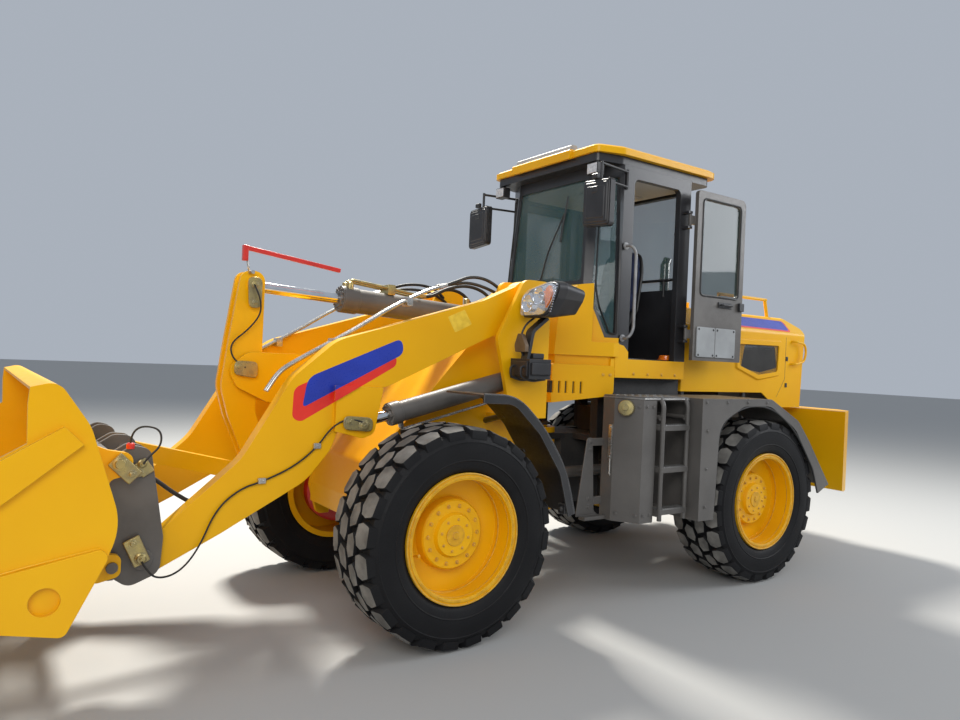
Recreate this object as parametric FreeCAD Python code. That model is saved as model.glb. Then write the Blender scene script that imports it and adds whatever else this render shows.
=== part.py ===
# Articulated wheel loader with a one-piece bucket on a quick coupler.
# Millimetres. +X points forward to the bucket, +Y to the machine's left, +Z up.
# The origin lies on the ground, under the middle of the machine's box.
import FreeCAD, Part
import math
import os

V = FreeCAD.Vector

# Wheels and stance
WHEELBASE = 2600.0
FRONT_AXLE_X = 775.0
REAR_AXLE_X = FRONT_AXLE_X - WHEELBASE
HINGE_X = FRONT_AXLE_X - WHEELBASE / 2.0
TYRE_R = 578.0
TYRE_WIDTH = 400.0
WHEEL_Y = 800.0
AXLE_Z = TYRE_R
RIM_R = 318.0
FLANGE_R = 342.0
HUB_R = 185.0
HUB_BACK = 40.0
WHEEL_GAP = 0.5

# Running clearances
PIN_GAP = 0.08
SIDE_GAP = 5.0

# Boom and its linkage, as (x, z) places in the middle plane
BOOM_PIVOT = (85.0, 1875.0)
COUPLER_PIVOT = (2238.0, 550.0)
LINK_PIN = (2245.0, 979.0)
CRANK_PIVOT = (1665.0, 1404.0)
CRANK_TOP = (1625.0, 1862.0)
CRANK_LOW = (1545.0, 805.0)
LIFT_BASE = (55.0, 1418.0)
LIFT_EYE = (1176.0, 1132.0)
TILT_BASE = (-5.0, 1775.0)
ARM_Y = 500.0
ARM_WIDTH = 80.0
PIN_R = 45.0
SMALL_PIN_R = 30.0
CROSS_TUBE = (1225.0, 1285.0)
CROSS_TUBE_R = 125.0
EYE_WIDTH = 70.0
CRANK_HALF = 60.0
CHEEK = 25.0
TILT_EYE_HALF = 76.0

# Cylinders
LIFT_BORE_R = 46.0
LIFT_BARREL_R = 58.0
LIFT_BARREL_LENGTH = 960.0
LIFT_ROD_R = 30.0
TILT_BARREL_R = 74.0
TILT_BORE_R = 60.0
TILT_BARREL_LENGTH = 1088.0
TILT_ROD_R = 32.0
STEER_BARREL_R = 38.0
STEER_BORE_R = 28.0
STEER_BARREL_LENGTH = 560.0
STEER_ROD_R = 19.0
STEER_BASE = (-920.0, 250.0)
STEER_EYE = (-135.0, 290.0)
STEER_Z = 750.0
GLAND_RIM = 7.0

# Frames
PLATE = 30.0
TOWER_OUTER_Y = 620.0
TOWER_INNER_Y = 390.0
FRAME_LOW = 470.0
HINGE_PIN_R = 45.0
HINGE_LUG_R = 100.0
HINGE_LEVELS = (520.0, 980.0)
HINGE_PLATE = 40.0
RAIL_Y = 330.0

# Cab
CAB_Y = 600.0
CAB_REAR = -1395.0
CAB_FLOOR = 1550.0
CAB_MOUNT_TOP = 1424.0
CAB_TOP = 2850.0
ROOF_LINER = 55.0
ROOF_CAP = 55.0
PILLAR_FRONT = -656.0
PILLAR_REAR = -756.0
REAR_POST_X = -1225.0
SCREEN_LOW = (-456.0, 445.0)
SCREEN_HIGH = (-540.0, 380.0)
SCREEN_SILL = 2046.0
FRAME_WALL = 45.0
GLASS = 6.0
SKIRT_FRONT = (-250.0, 418.0)
SKIRT_REAR = (-609.0, 624.0)
SKIRT_TOP = 1500.0
DOOR_LOW = 1565.0
DOOR_HIGH = CAB_TOP - 75.0
DOOR_THICK = 30.0
DOOR_HINGE = (-1275.0, 650.0)
DOOR_WIDTH = 545.0
HINGE_HEIGHTS = (1750.0, 2560.0)

# Hood and tail
HOOD_Y = 520.0
HOOD_REAR = -2984.0
RAIL_REAR = -2990.0
TAIL_X = RAIL_REAR - 385.0
TOW_BORE_R = 21.0

# Bucket
BUCKET_Y = 1035.0
BUCKET_SHEET = 14.0
BUCKET_SIDE = 20.0
HANGER_Y = 590.0
HOOK_PIN = (2336.0, 985.0)
LATCH_PIN = (2366.0, 540.0)
STIFFENER = 25.0


def unit(a, b):
    """Direction from point a to point b in a plane."""
    du = b[0] - a[0]
    dv = b[1] - a[1]
    size = math.hypot(du, dv)
    return du / size, dv / size


def outline(points, place):
    """Closed wire through (u, v) or (u, v, radius) corners; a radius rounds its corner."""
    corners = []
    count = len(points)
    for index, corner in enumerate(points):
        radius = corner[2] if len(corner) > 2 else 0.0
        if radius == 0.0:
            corners.append((corner, None, corner))
            continue
        to_last = unit(corner, points[index - 1])
        to_next = unit(corner, points[(index + 1) % count])
        half = math.acos(to_last[0] * to_next[0] + to_last[1] * to_next[1]) / 2.0
        run = radius / math.tan(half)
        start = (corner[0] + to_last[0] * run, corner[1] + to_last[1] * run)
        end = (corner[0] + to_next[0] * run, corner[1] + to_next[1] * run)
        mid_u = to_last[0] + to_next[0]
        mid_v = to_last[1] + to_next[1]
        size = math.hypot(mid_u, mid_v)
        reach = radius / math.sin(half) - radius
        middle = (corner[0] + mid_u / size * reach, corner[1] + mid_v / size * reach)
        corners.append((start, middle, end))
    edges = []
    for index, (start, middle, end) in enumerate(corners):
        if middle is not None:
            edges.append(Part.Arc(place(start), place(middle), place(end)).toShape())
        following = corners[(index + 1) % count][0]
        if math.hypot(following[0] - end[0], following[1] - end[1]) > 0.01:
            edges.append(Part.makeLine(place(end), place(following)))
    return Part.Wire(edges)


def side_plate(points, y_low, y_high):
    """Solid of a side outline (x, z) between two y planes."""
    wire = outline(points, lambda p: V(p[0], y_low, p[1]))
    return Part.Face(wire).extrude(V(0, y_high - y_low, 0))


def plan_plate(points, z_low, z_high):
    """Solid of a plan outline (x, y) between two heights."""
    wire = outline(points, lambda p: V(p[0], p[1], z_low))
    return Part.Face(wire).extrude(V(0, 0, z_high - z_low))


def cross_plate(points, x_low, x_high):
    """Solid of a cross-section outline (y, z) between two x planes."""
    wire = outline(points, lambda p: V(x_low, p[0], p[1]))
    return Part.Face(wire).extrude(V(x_high - x_low, 0, 0))


def block(x_low, x_high, y_low, y_high, z_low, z_high):
    """Solid box between two corners."""
    return Part.makeBox(x_high - x_low, y_high - y_low, z_high - z_low, V(x_low, y_low, z_low))


def bar(start, end, radius):
    """Round bar between two points."""
    way = end - start
    return Part.makeCylinder(radius, way.Length, start, way)


def pin_y(place, radius, y_low, y_high):
    """Round bar along y at an (x, z) place."""
    return Part.makeCylinder(radius, y_high - y_low, V(place[0], y_low, place[1]), V(0, 1, 0))


def pin_z(place, radius, z_low, z_high):
    """Round bar along z at an (x, y) place."""
    return Part.makeCylinder(radius, z_high - z_low, V(place[0], place[1], z_low), V(0, 0, 1))


def turned(profile, centre):
    """Solid of revolution about y: profile points are (y, radius) from the centre."""
    wire = outline(profile, lambda p: centre + V(0, p[0], p[1]))
    return Part.Face(wire).revolve(centre, V(0, 1, 0), 360)


def join(shapes):
    """One solid from touching solids."""
    return shapes[0].multiFuse(shapes[1:]).removeSplitter()


def mirrored(shape):
    """Copy on the machine's other side."""
    return shape.mirror(V(0, 0, 0), V(0, 1, 0))


def both_sides(shape):
    """The left solid and its mirror image."""
    return [shape, mirrored(shape)]


def sheet_path(points, thickness):
    """Closed outline of a sheet along a path, with its thickness on the path's left."""
    far = []
    last = len(points) - 1
    for index, corner in enumerate(points):
        radius = corner[2] if len(corner) > 2 else 0.0
        before = unit(points[index - 1], corner) if index > 0 else unit(corner, points[1])
        after = unit(corner, points[index + 1]) if index < last else before
        normal = (-before[1] - after[1], before[0] + after[0])
        size = math.hypot(normal[0], normal[1])
        half_cos = size / 2.0
        reach = thickness / half_cos
        turn = before[0] * after[1] - before[1] * after[0]
        inner = radius - thickness if turn > 0 else radius + thickness
        place = (corner[0] + normal[0] / size * reach, corner[1] + normal[1] / size * reach)
        far.append((place[0], place[1], inner) if radius else place)
    return list(points) + far[::-1]


os.makedirs("parts", exist_ok=True)


def save(name, shapes):
    """Write one piece, or several like pieces that don't touch, as one file."""
    solids = []
    for shape in shapes:
        solids.extend(shape.Solids)
    for solid in solids:
        if not solid.isValid():
            print("not valid:", name)
    kept = solids[0] if len(solids) == 1 else Part.makeCompound(solids)
    kept.exportStep("parts/" + name + ".step")


# Tyre: a carcass of flats that bulges over its bead, with two rings of lugs, one on each
# half of the tread and half a pitch apart.
LUG_COUNT = 24
LUG_DEPTH = 24.0
LUG_ROOT = 530.0
LUG_TIP_SHARE = 0.62
LUG_FLANK_SHARE = 0.07
TREAD_HALF = 188.0
SEAT_GAP = 0.3
CARCASS_SECTIONS = [
    (-150.0, RIM_R + SEAT_GAP), (-168.0, FLANGE_R + 2.0), (-TYRE_WIDTH / 2.0, 455.0), (-TREAD_HALF, 545.0),
    (TREAD_HALF, 545.0), (TYRE_WIDTH / 2.0, 455.0), (168.0, FLANGE_R + 2.0), (150.0, RIM_R + SEAT_GAP)]
PITCH = 2.0 * math.pi / LUG_COUNT


def around(y, angle, radius):
    """Point of the wheel from its place along the axle, its angle and its radius."""
    return V(radius * math.sin(angle), y, -radius * math.cos(angle))


def flat_ring(y, radius):
    """Corners of a regular polygon, one side to each lug, whose flats lie at the radius."""
    corner_r = radius / math.cos(PITCH / 2.0)
    return [around(y, (index + 0.5) * PITCH, corner_r) for index in range(LUG_COUNT)]


def flat_face(corners):
    """Flat face through corners in order."""
    return Part.Face(Part.makePolygon(corners + corners[:1]))


def make_carcass():
    """Ring of flat faces between the sections, closed along the rim's seat."""
    rings = [flat_ring(y, radius) for y, radius in CARCASS_SECTIONS]
    faces = []
    for index, ring in enumerate(rings):
        beside = rings[(index + 1) % len(rings)]
        for turn in range(LUG_COUNT):
            far = (turn + 1) % LUG_COUNT
            faces.append(flat_face([ring[turn], ring[far], beside[far], beside[turn]]))
    return Part.makeSolid(Part.makeShell(faces))


def lug_ring(y_low, y_high, turn):
    """Toothed ring: each lug has a flat tip, two short flanks and a valley behind it."""
    tip_half = PITCH * LUG_TIP_SHARE / 2.0
    foot_half = tip_half + PITCH * LUG_FLANK_SHARE
    valley_r = TYRE_R - LUG_DEPTH
    corners = []
    for index in range(LUG_COUNT):
        middle = (index + turn) * PITCH
        tooth = [(-foot_half, valley_r), (-tip_half, TYRE_R), (tip_half, TYRE_R), (foot_half, valley_r)]
        corners.extend([around(y_low, middle + angle, radius) for angle, radius in tooth])
    way = V(0, y_high - y_low, 0)
    return flat_face(corners).extrude(way).cut(flat_face(flat_ring(y_low, LUG_ROOT)).extrude(way))


# Rim: barrel with two flanges, a deep dished disc, and the bolted hub in its middle.
RIM_PROFILE = [
    (-HUB_BACK, 0.0), (-HUB_BACK, HUB_R - 5.0), (-10.0, HUB_R + 10.0), (8.0, 306.0),
    (-180.0, 306.0), (-180.0, FLANGE_R), (-168.0, FLANGE_R), (-150.0, RIM_R), (150.0, RIM_R),
    (168.0, FLANGE_R), (180.0, FLANGE_R), (180.0, 306.0), (26.0, 306.0), (12.0, HUB_R + 10.0),
    (62.0, HUB_R), (70.0, HUB_R - 8.0), (70.0, 120.0), (95.0, 108.0), (95.0, 0.0)]

WHEELS = [
    ("front_left", FRONT_AXLE_X, 1), ("front_right", FRONT_AXLE_X, -1),
    ("rear_left", REAR_AXLE_X, 1), ("rear_right", REAR_AXLE_X, -1)]

wheel_tyre = join([make_carcass(), lug_ring(-TREAD_HALF, 0.0, 0.0), lug_ring(0.0, TREAD_HALF, 0.5)])
wheel_rim = turned(RIM_PROFILE, V(0, 0, 0))
for place_name, axle_x, side in WHEELS:
    for piece_name, piece in (("tyre_", wheel_tyre), ("rim_", wheel_rim)):
        placed = piece.copy() if side > 0 else mirrored(piece)
        placed.translate(V(axle_x, WHEEL_Y * side, AXLE_Z))
        save(piece_name + place_name, [placed])

# Axles: a beam that swells to the differential and ends in the hub reducers.
AXLE_END = WHEEL_Y - HUB_BACK - WHEEL_GAP
AXLE_PROFILE = [
    (0.0, 0.0), (0.0, 190.0), (110.0, 180.0, 60.0), (230.0, 98.0, 60.0), (540.0, 80.0),
    (570.0, 150.0), (AXLE_END - 30.0, 150.0), (AXLE_END, 120.0), (AXLE_END, 0.0)]
AXLE_PAD_TOP = AXLE_Z + 120.0


def axle(x, nose_way):
    """Axle housing with its pinion nose towards the frame's hinge."""
    left = turned(AXLE_PROFILE, V(x, 0, AXLE_Z))
    nose = Part.makeCone(120, 70, 300, V(x, 0, AXLE_Z), V(nose_way, 0, 0))
    pads = [block(x - 90, x + 90, y, y + 90, AXLE_Z, AXLE_PAD_TOP) for y in (320.0, -410.0)]
    return join([left, mirrored(left), nose] + pads)


save("front_axle", [axle(FRONT_AXLE_X, -1)])
save("rear_axle", [axle(REAR_AXLE_X, 1)])

# Front frame: two deep inner plates with a sloping nose, the outer tower plates that
# hold the boom, and the four hinge plates that run back to the frame's hinge.
REAR_EDGE = BOOM_PIVOT[0] - 125.0
inner_outline = [
    (REAR_EDGE, FRAME_LOW), (REAR_EDGE, 2000.0, 60.0), (165.0, 2000.0, 60.0), (300.0, 1700.0, 60.0),
    (1025.0, 900.0, 60.0), (1075.0, 660.0, 40.0), (1020.0, FRAME_LOW, 40.0),
    (940.0, FRAME_LOW), (900.0, AXLE_PAD_TOP), (650.0, AXLE_PAD_TOP), (610.0, FRAME_LOW)]
outer_outline = [
    (REAR_EDGE, 1180.0), (REAR_EDGE, 2000.0, 60.0), (165.0, 2000.0, 60.0), (354.0, 1640.0, 80.0),
    (270.0, 1321.0, 80.0), (250.0, 1180.0)]
frame_parts = []
for inner_side in (1, -1):
    low_y = TOWER_INNER_Y - PLATE if inner_side > 0 else -TOWER_INNER_Y
    frame_parts.append(side_plate(inner_outline, low_y, low_y + PLATE))
    low_y = TOWER_OUTER_Y - PLATE if inner_side > 0 else -TOWER_OUTER_Y
    frame_parts.append(side_plate(outer_outline, low_y, low_y + PLATE))
    near = TOWER_INNER_Y if inner_side > 0 else -TOWER_OUTER_Y
    far = TOWER_OUTER_Y if inner_side > 0 else -TOWER_INNER_Y
    frame_parts.append(block(REAR_EDGE, 250.0, near, far, 1160.0, 1180.0))
    for place, radius in ((BOOM_PIVOT, 78.0), (LIFT_BASE, 44.0)):
        arm_low = ARM_Y - ARM_WIDTH / 2.0 - 0.5
        arm_high = ARM_Y + ARM_WIDTH / 2.0 + 0.5
        if place == LIFT_BASE:
            arm_low = ARM_Y - EYE_WIDTH / 2.0 - SIDE_GAP
            arm_high = ARM_Y + EYE_WIDTH / 2.0 + SIDE_GAP
        spans = [(TOWER_INNER_Y, arm_low), (arm_high, TOWER_OUTER_Y - PLATE)]
        for start, end in spans:
            boss = pin_y(place, radius, start, end)
            frame_parts.append(boss if inner_side > 0 else mirrored(boss))
        pin_radius = PIN_R if place == BOOM_PIVOT else SMALL_PIN_R
        pin = pin_y(place, pin_radius, TOWER_INNER_Y - PLATE - 8.0, TOWER_OUTER_Y + 10.0)
        frame_parts.append(pin if inner_side > 0 else mirrored(pin))
INSIDE = TOWER_INNER_Y - PLATE
nose_cover = sheet_path([(1068.0, 560.0), (1068.0, 680.0), (1018.0, 890.0, 60.0), (350.0, 1610.0)], 14.0)
frame_parts.append(side_plate(nose_cover, -INSIDE, INSIDE))
frame_parts.append(block(REAR_EDGE, REAR_EDGE + 25.0, -INSIDE, INSIDE, FRAME_LOW, 1560.0))
frame_parts.append(block(REAR_EDGE, 440.0, -INSIDE, INSIDE, FRAME_LOW, FRAME_LOW + 20.0))
for y in (210.0, -INSIDE):
    frame_parts.append(block(650.0, 900.0, y, y + INSIDE - 210.0, AXLE_PAD_TOP, AXLE_PAD_TOP + 20.0))
for y in (-TILT_EYE_HALF - SIDE_GAP - PLATE, TILT_EYE_HALF + SIDE_GAP):
    lug = [(REAR_EDGE, 1500.0), (REAR_EDGE, 1835.0, 20.0), (20.0, 1840.0, 35.0), (68.0, 1775.0, 35.0),
           (90.0, 1500.0)]
    frame_parts.append(side_plate(lug, y, y + PLATE))
frame_parts.append(block(REAR_EDGE, 90.0, -INSIDE, INSIDE, 1480.0, 1500.0))
frame_parts.append(pin_y(TILT_BASE, SMALL_PIN_R, -TILT_EYE_HALF - 45.0, TILT_EYE_HALF + 45.0))
for level in HINGE_LEVELS:
    for low in (level - HINGE_PLATE * 1.5 - SIDE_GAP, level + HINGE_PLATE / 2.0 + SIDE_GAP):
        lug_plan = [
            (REAR_EDGE + 10.0, -INSIDE), (REAR_EDGE + 10.0, INSIDE), (REAR_EDGE - 60.0, INSIDE - 40.0),
            (HINGE_X + 40.0, HINGE_LUG_R - 10.0), (HINGE_X + 40.0, -HINGE_LUG_R + 10.0),
            (REAR_EDGE - 60.0, -INSIDE + 40.0)]
        lug = plan_plate(lug_plan, low, low + HINGE_PLATE)
        eye = pin_z((HINGE_X, 0.0), HINGE_LUG_R, low, low + HINGE_PLATE)
        frame_parts.extend([lug, eye])
    frame_parts.append(pin_z((HINGE_X, 0.0), HINGE_PIN_R, level - 80.0, level + 80.0))
for side in (1, -1):
    for low in (STEER_Z - 60.0, STEER_Z + 30.0):
        clevis_y = STEER_EYE[1] * side
        clevis = [(REAR_EDGE + 10.0, clevis_y - 45.0), (STEER_EYE[0] - 10.0, clevis_y - 45.0, 35.0),
                  (STEER_EYE[0] - 10.0, clevis_y + 45.0, 35.0), (REAR_EDGE + 10.0, clevis_y + 45.0)]
        frame_parts.append(plan_plate(clevis, low, low + 30.0))
front_frame = join(frame_parts)
save("front_frame", [front_frame])

# Front fenders: a bent sheet behind each front tyre, on two round stays.
FENDER_PATH = [
    (700.0, 1325.0), (480.0, 1318.0, 180.0), (282.0, 1140.0, 150.0), (115.0, 905.0, 200.0), (38.0, 650.0)]
fender = side_plate(sheet_path(FENDER_PATH, 10.0), 630.0, 1000.0)
skirt = side_plate(sheet_path(FENDER_PATH, 45.0), 990.0, 1000.0)
stays = []
for x, z, low_x in ((330.0, 1190.0, 250.0), (170.0, 985.0, 170.0)):
    stays.append(bar(V(low_x, TOWER_INNER_Y - 5.0, z - 60.0), V(x, 700.0, z), 18.0))
fender = join([fender, skirt] + stays).cut(front_frame)
fender_solid = max(fender.Solids, key=lambda solid: solid.Volume)
save("front_fenders", both_sides(fender_solid))

# Headlamps: a pod on a bent arm, over the lamp box on the tower's outer plate.
POD_FRONT = 205.0
POD_REAR = -30.0
POD_DEPTH = 60.0
POD_MIDDLE = (815.0, 1865.0)
POD_TAPER = 0.72
pod_outline = [(662.0, 1765.0, 25.0), (668.0, 1885.0, 30.0), (725.0, 1928.0, 40.0), (930.0, 1972.0, 50.0),
               (1000.0, 1950.0, 40.0), (965.0, 1870.0, 40.0), (880.0, 1765.0, 40.0)]
pod_shoulder = [(POD_MIDDLE[0] + (y - POD_MIDDLE[0]) * POD_TAPER,
                 POD_MIDDLE[1] + (z - POD_MIDDLE[1]) * POD_TAPER,
                 r * POD_TAPER) for y, z, r in pod_outline]
pod = cross_plate(pod_outline, POD_FRONT - POD_DEPTH, POD_FRONT)
pod_back = Part.makeLoft([
    outline(pod_outline, lambda p: V(POD_FRONT - POD_DEPTH, p[0], p[1])),
    outline(pod_shoulder, lambda p: V(POD_REAR, p[0], p[1]))], True, True)
arm_path = sheet_path([(240.0, 1510.0), (205.0, 1690.0, 60.0), (95.0, 1775.0)], 20.0)
lamp_arm = side_plate(arm_path, 700.0, 760.0)
lamp_box = block(90.0, 250.0, TOWER_OUTER_Y, 800.0, 1405.0, 1522.0)
headlamp = join([pod, pod_back, lamp_arm, lamp_box])
save("headlamps", both_sides(headlamp))

# Boom: two bent arms, the cross tube between them and the crank's brackets.
ARM_OUTLINE = [
    (BOOM_PIVOT[0], 2000.0), (407.0, 1855.0), (1325.0, 1575.0, 260.0), (1560.0, 1375.0, 260.0),
    (1800.0, 975.0, 320.0), (2190.0, 632.0), (2190.0, 472.0), (1887.0, 622.0), (1470.0, 850.0, 260.0),
    (1345.0, 1000.0, 60.0), (1235.0, 1285.0, 60.0), (1018.0, 1340.0, 80.0), (396.0, 1622.0), (60.0, 1752.0)]
EAR_OUTLINE = [
    (1060.0, 1330.0), (1105.0, 1085.0, 50.0), (1176.0, 1060.0, 60.0), (1262.0, 1085.0, 50.0),
    (1330.0, 1100.0), (1330.0, 1340.0)]
arm_low = ARM_Y - ARM_WIDTH / 2.0
arm_high = ARM_Y + ARM_WIDTH / 2.0
arm = side_plate(ARM_OUTLINE, arm_low, arm_high)
arm = arm.fuse(pin_y(BOOM_PIVOT, 125.0, arm_low, arm_high))
arm = arm.fuse(pin_y(COUPLER_PIVOT, 90.0, arm_low, arm_high))
arm = arm.cut(pin_y(BOOM_PIVOT, PIN_R + PIN_GAP, arm_low - 1.0, arm_high + 1.0))
arm = arm.cut(pin_y(COUPLER_PIVOT, PIN_R + PIN_GAP, arm_low - 1.0, arm_high + 1.0))
boom_parts = both_sides(arm)
for low in (arm_low - CHEEK, arm_high):
    ear = side_plate(EAR_OUTLINE, low, low + CHEEK)
    boom_parts.extend(both_sides(ear))
for low, high in ((arm_low - CHEEK - 12.0, arm_low - CHEEK), (arm_high + CHEEK, arm_high + CHEEK + 12.0)):
    boom_parts.extend(both_sides(pin_y(LIFT_EYE, 38.0, low, high)))
tube = pin_y(CROSS_TUBE, CROSS_TUBE_R, -arm_low, arm_low)
boom_parts.append(tube)
BRACKET_OUTLINE = [
    (1200.0, 1400.0), (1290.0, 1492.0, 60.0), (1650.0, 1492.0, 80.0), (1758.0, 1402.0, 70.0),
    (1702.0, 1300.0, 70.0), (1540.0, 1222.0), (1300.0, 1180.0)]
for low in (CRANK_HALF + SIDE_GAP, -CRANK_HALF - SIDE_GAP - PLATE):
    boom_parts.append(side_plate(BRACKET_OUTLINE, low, low + PLATE))
crank_pin_end = CRANK_HALF + SIDE_GAP + PLATE + 15.0
boom_parts.append(pin_y(CRANK_PIVOT, PIN_R, -crank_pin_end, crank_pin_end))
boom = join(boom_parts)
save("boom", [boom])

# Bell crank: two cheeks with a web, the rod's eye between them above and the link below.
CRANK_OUTLINE = [
    (1690.0, 1940.0, 58.0), (1560.0, 1940.0, 58.0), (1562.0, 1400.0), (1590.0, 1180.0, 150.0),
    (1482.0, 845.0, 40.0),
    (1482.0, 742.0, 50.0), (1600.0, 742.0, 50.0), (1607.0, 830.0, 80.0), (1735.0, 1145.0, 200.0),
    (1778.0, 1300.0, 200.0), (1745.0, 1560.0, 300.0)]
WEB_OUTLINE = [
    (1665.0, 1765.0), (1598.0, 1765.0), (1602.0, 1400.0), (1625.0, 1185.0), (1715.0, 1185.0),
    (1748.0, 1300.0),
    (1722.0, 1520.0)]
LINK_HALF = 28.0
crank_parts = []
for low in (LINK_HALF + SIDE_GAP, -CRANK_HALF):
    crank_parts.append(side_plate(CRANK_OUTLINE, low, low + CRANK_HALF - LINK_HALF - SIDE_GAP))
crank_parts.append(side_plate(WEB_OUTLINE, -LINK_HALF - SIDE_GAP, LINK_HALF + SIDE_GAP))
for place in (CRANK_TOP, CRANK_LOW):
    crank_parts.append(pin_y(place, 34.0, CRANK_HALF, CRANK_HALF + 22.0))
    crank_parts.append(pin_y(place, 34.0, -CRANK_HALF - 22.0, -CRANK_HALF))
crank = join(crank_parts).cut(pin_y(CRANK_PIVOT, PIN_R + PIN_GAP, -CRANK_HALF - 1.0, CRANK_HALF + 1.0))
save("bell_crank", [crank])


def rod_line(start, end, y):
    """Two points in space from two (x, z) places in one plane."""
    return V(start[0], y, start[1]), V(end[0], y, end[1])


def barrel_on(start, way, reach, outer, bore, gland_length, eye_r, eye_pin, eye_low, eye_high, axis):
    """Cylinder barrel with a closed rear end, a gland and its rear eye."""
    tube = Part.makeCylinder(outer, reach - eye_r, start + way * eye_r, way)
    gland = Part.makeCylinder(outer + GLAND_RIM, gland_length, start + way * (reach - gland_length), way)
    eye = Part.makeCylinder(eye_r + 6.0, eye_high - eye_low, start + axis * eye_low, axis)
    solid = join([tube, gland, eye])
    solid = solid.cut(Part.makeCylinder(bore, reach, start + way * (eye_r + 40.0), way))
    return solid.cut(Part.makeCylinder(eye_pin + PIN_GAP, 400.0, start - axis * 200.0, axis))


def rod_on(start, way, inner, length, radius, piston, eye_r, eye_low, eye_high, axis):
    """Piston rod with its piston inside the barrel and the eye at its end."""
    end = start + way * length
    shaft = Part.makeCylinder(radius, length - inner, start + way * inner, way)
    head = Part.makeCylinder(piston, 60.0, start + way * inner, way)
    eye = Part.makeCylinder(eye_r, eye_high - eye_low, end + axis * eye_low, axis)
    return join([shaft, head, eye])


Y_AXIS = V(0, 1, 0)
Z_AXIS = V(0, 0, 1)

# Lift cylinders, one under each arm
lift_start, lift_end = rod_line(LIFT_BASE, LIFT_EYE, ARM_Y)
lift_way = (lift_end - lift_start).normalize()
lift_length = (lift_end - lift_start).Length
lift_barrel = barrel_on(lift_start, lift_way, LIFT_BARREL_LENGTH, LIFT_BARREL_R, LIFT_BORE_R, 60.0, 52.0,
                        SMALL_PIN_R, -EYE_WIDTH / 2.0, EYE_WIDTH / 2.0, Y_AXIS)
save("lift_barrels", both_sides(lift_barrel))
lift_rod = rod_on(lift_start, lift_way, 190.0, lift_length, LIFT_ROD_R, LIFT_BORE_R - 0.5, 50.0,
                  -EYE_WIDTH / 2.0, EYE_WIDTH / 2.0, Y_AXIS)
save("lift_rods", both_sides(lift_rod))

# Tilt cylinder, in the middle over the nose
tilt_start, tilt_end = rod_line(TILT_BASE, CRANK_TOP, 0.0)
tilt_way = (tilt_end - tilt_start).normalize()
tilt_length = (tilt_end - tilt_start).Length
tilt_barrel = barrel_on(tilt_start, tilt_way, TILT_BARREL_LENGTH, TILT_BARREL_R, TILT_BORE_R, 100.0, 52.0,
                        SMALL_PIN_R, -TILT_EYE_HALF, TILT_EYE_HALF, Y_AXIS)
save("tilt_barrel", [tilt_barrel])
tilt_rod = rod_on(tilt_start, tilt_way, 660.0, tilt_length, TILT_ROD_R, TILT_BORE_R - 0.5, 58.0,
                  -LINK_HALF, LINK_HALF, Y_AXIS)
save("tilt_rod", [tilt_rod])

# Link between the crank's low end and the coupler
link_start, link_end = rod_line(CRANK_LOW, LINK_PIN, 0.0)
link_way = (link_end - link_start).normalize()
link_body = Part.makeBox((link_end - link_start).Length, 2 * LINK_HALF, 90.0, V(0, -LINK_HALF, -45.0))
link_angle = math.degrees(math.atan2(link_end.z - link_start.z, link_end.x - link_start.x))
link_body.rotate(V(0, 0, 0), V(0, -1, 0), link_angle)
link_body.translate(link_start)
link_eyes = [pin_y(CRANK_LOW, 58.0, -LINK_HALF, LINK_HALF), pin_y(LINK_PIN, 62.0, -LINK_HALF, LINK_HALF)]
link = join([link_body] + link_eyes)
link = link.cut(pin_y(LINK_PIN, SMALL_PIN_R + PIN_GAP, -LINK_HALF - 1.0, LINK_HALF + 1.0))
save("tilt_link", [link])

# Quick coupler: ears on both sides of each arm, lugs for the link, a back plate and tubes.
COUPLER_EAR = [
    (2160.0, 480.0, 60.0), (2290.0, 430.0, 60.0), (2385.0, 500.0, 20.0), (2385.0, 1000.0, 50.0),
    (2290.0, 1062.0, 60.0), (2215.0, 1040.0, 50.0), (2150.0, 640.0, 80.0)]
BACK_PLATE_X = 2350.0
coupler_parts = []
for low in (ARM_Y - ARM_WIDTH / 2.0 - SIDE_GAP - CHEEK, ARM_Y + ARM_WIDTH / 2.0 + SIDE_GAP):
    coupler_parts.extend(both_sides(side_plate(COUPLER_EAR, low, low + CHEEK)))
coupler_edge = ARM_Y + ARM_WIDTH / 2.0 + SIDE_GAP + CHEEK
coupler_parts.append(block(BACK_PLATE_X, BACK_PLATE_X + 25.0, -coupler_edge, coupler_edge, 470.0, 700.0))
coupler_parts.append(block(BACK_PLATE_X, BACK_PLATE_X + 25.0, -coupler_edge, coupler_edge, 860.0, 1010.0))
LINK_LUG = [
    (BACK_PLATE_X + 10.0, 860.0), (BACK_PLATE_X + 10.0, 1010.0), (2290.0, 1055.0, 60.0),
    (2190.0, 1045.0, 60.0),
    (2180.0, 930.0, 60.0)]
for low in (LINK_HALF + SIDE_GAP, -LINK_HALF - SIDE_GAP - CHEEK):
    coupler_parts.append(side_plate(LINK_LUG, low, low + CHEEK))
lug_edge = LINK_HALF + SIDE_GAP + CHEEK + 15.0
coupler_parts.append(pin_y(LINK_PIN, SMALL_PIN_R, -lug_edge, lug_edge))
for side in (1, -1):
    start = ARM_Y - ARM_WIDTH / 2.0 - SIDE_GAP - CHEEK - 15.0
    pin = pin_y(COUPLER_PIVOT, PIN_R, start, coupler_edge + 15.0)
    hook = pin_y(HOOK_PIN, 27.0, 420.0, HANGER_Y + 45.0)
    low_pin = pin_y(LATCH_PIN, 24.0, 420.0, HANGER_Y + 45.0)
    for piece in (pin, hook, low_pin):
        coupler_parts.append(piece if side > 0 else mirrored(piece))
coupler = join(coupler_parts)
save("quick_coupler", [coupler])

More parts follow.
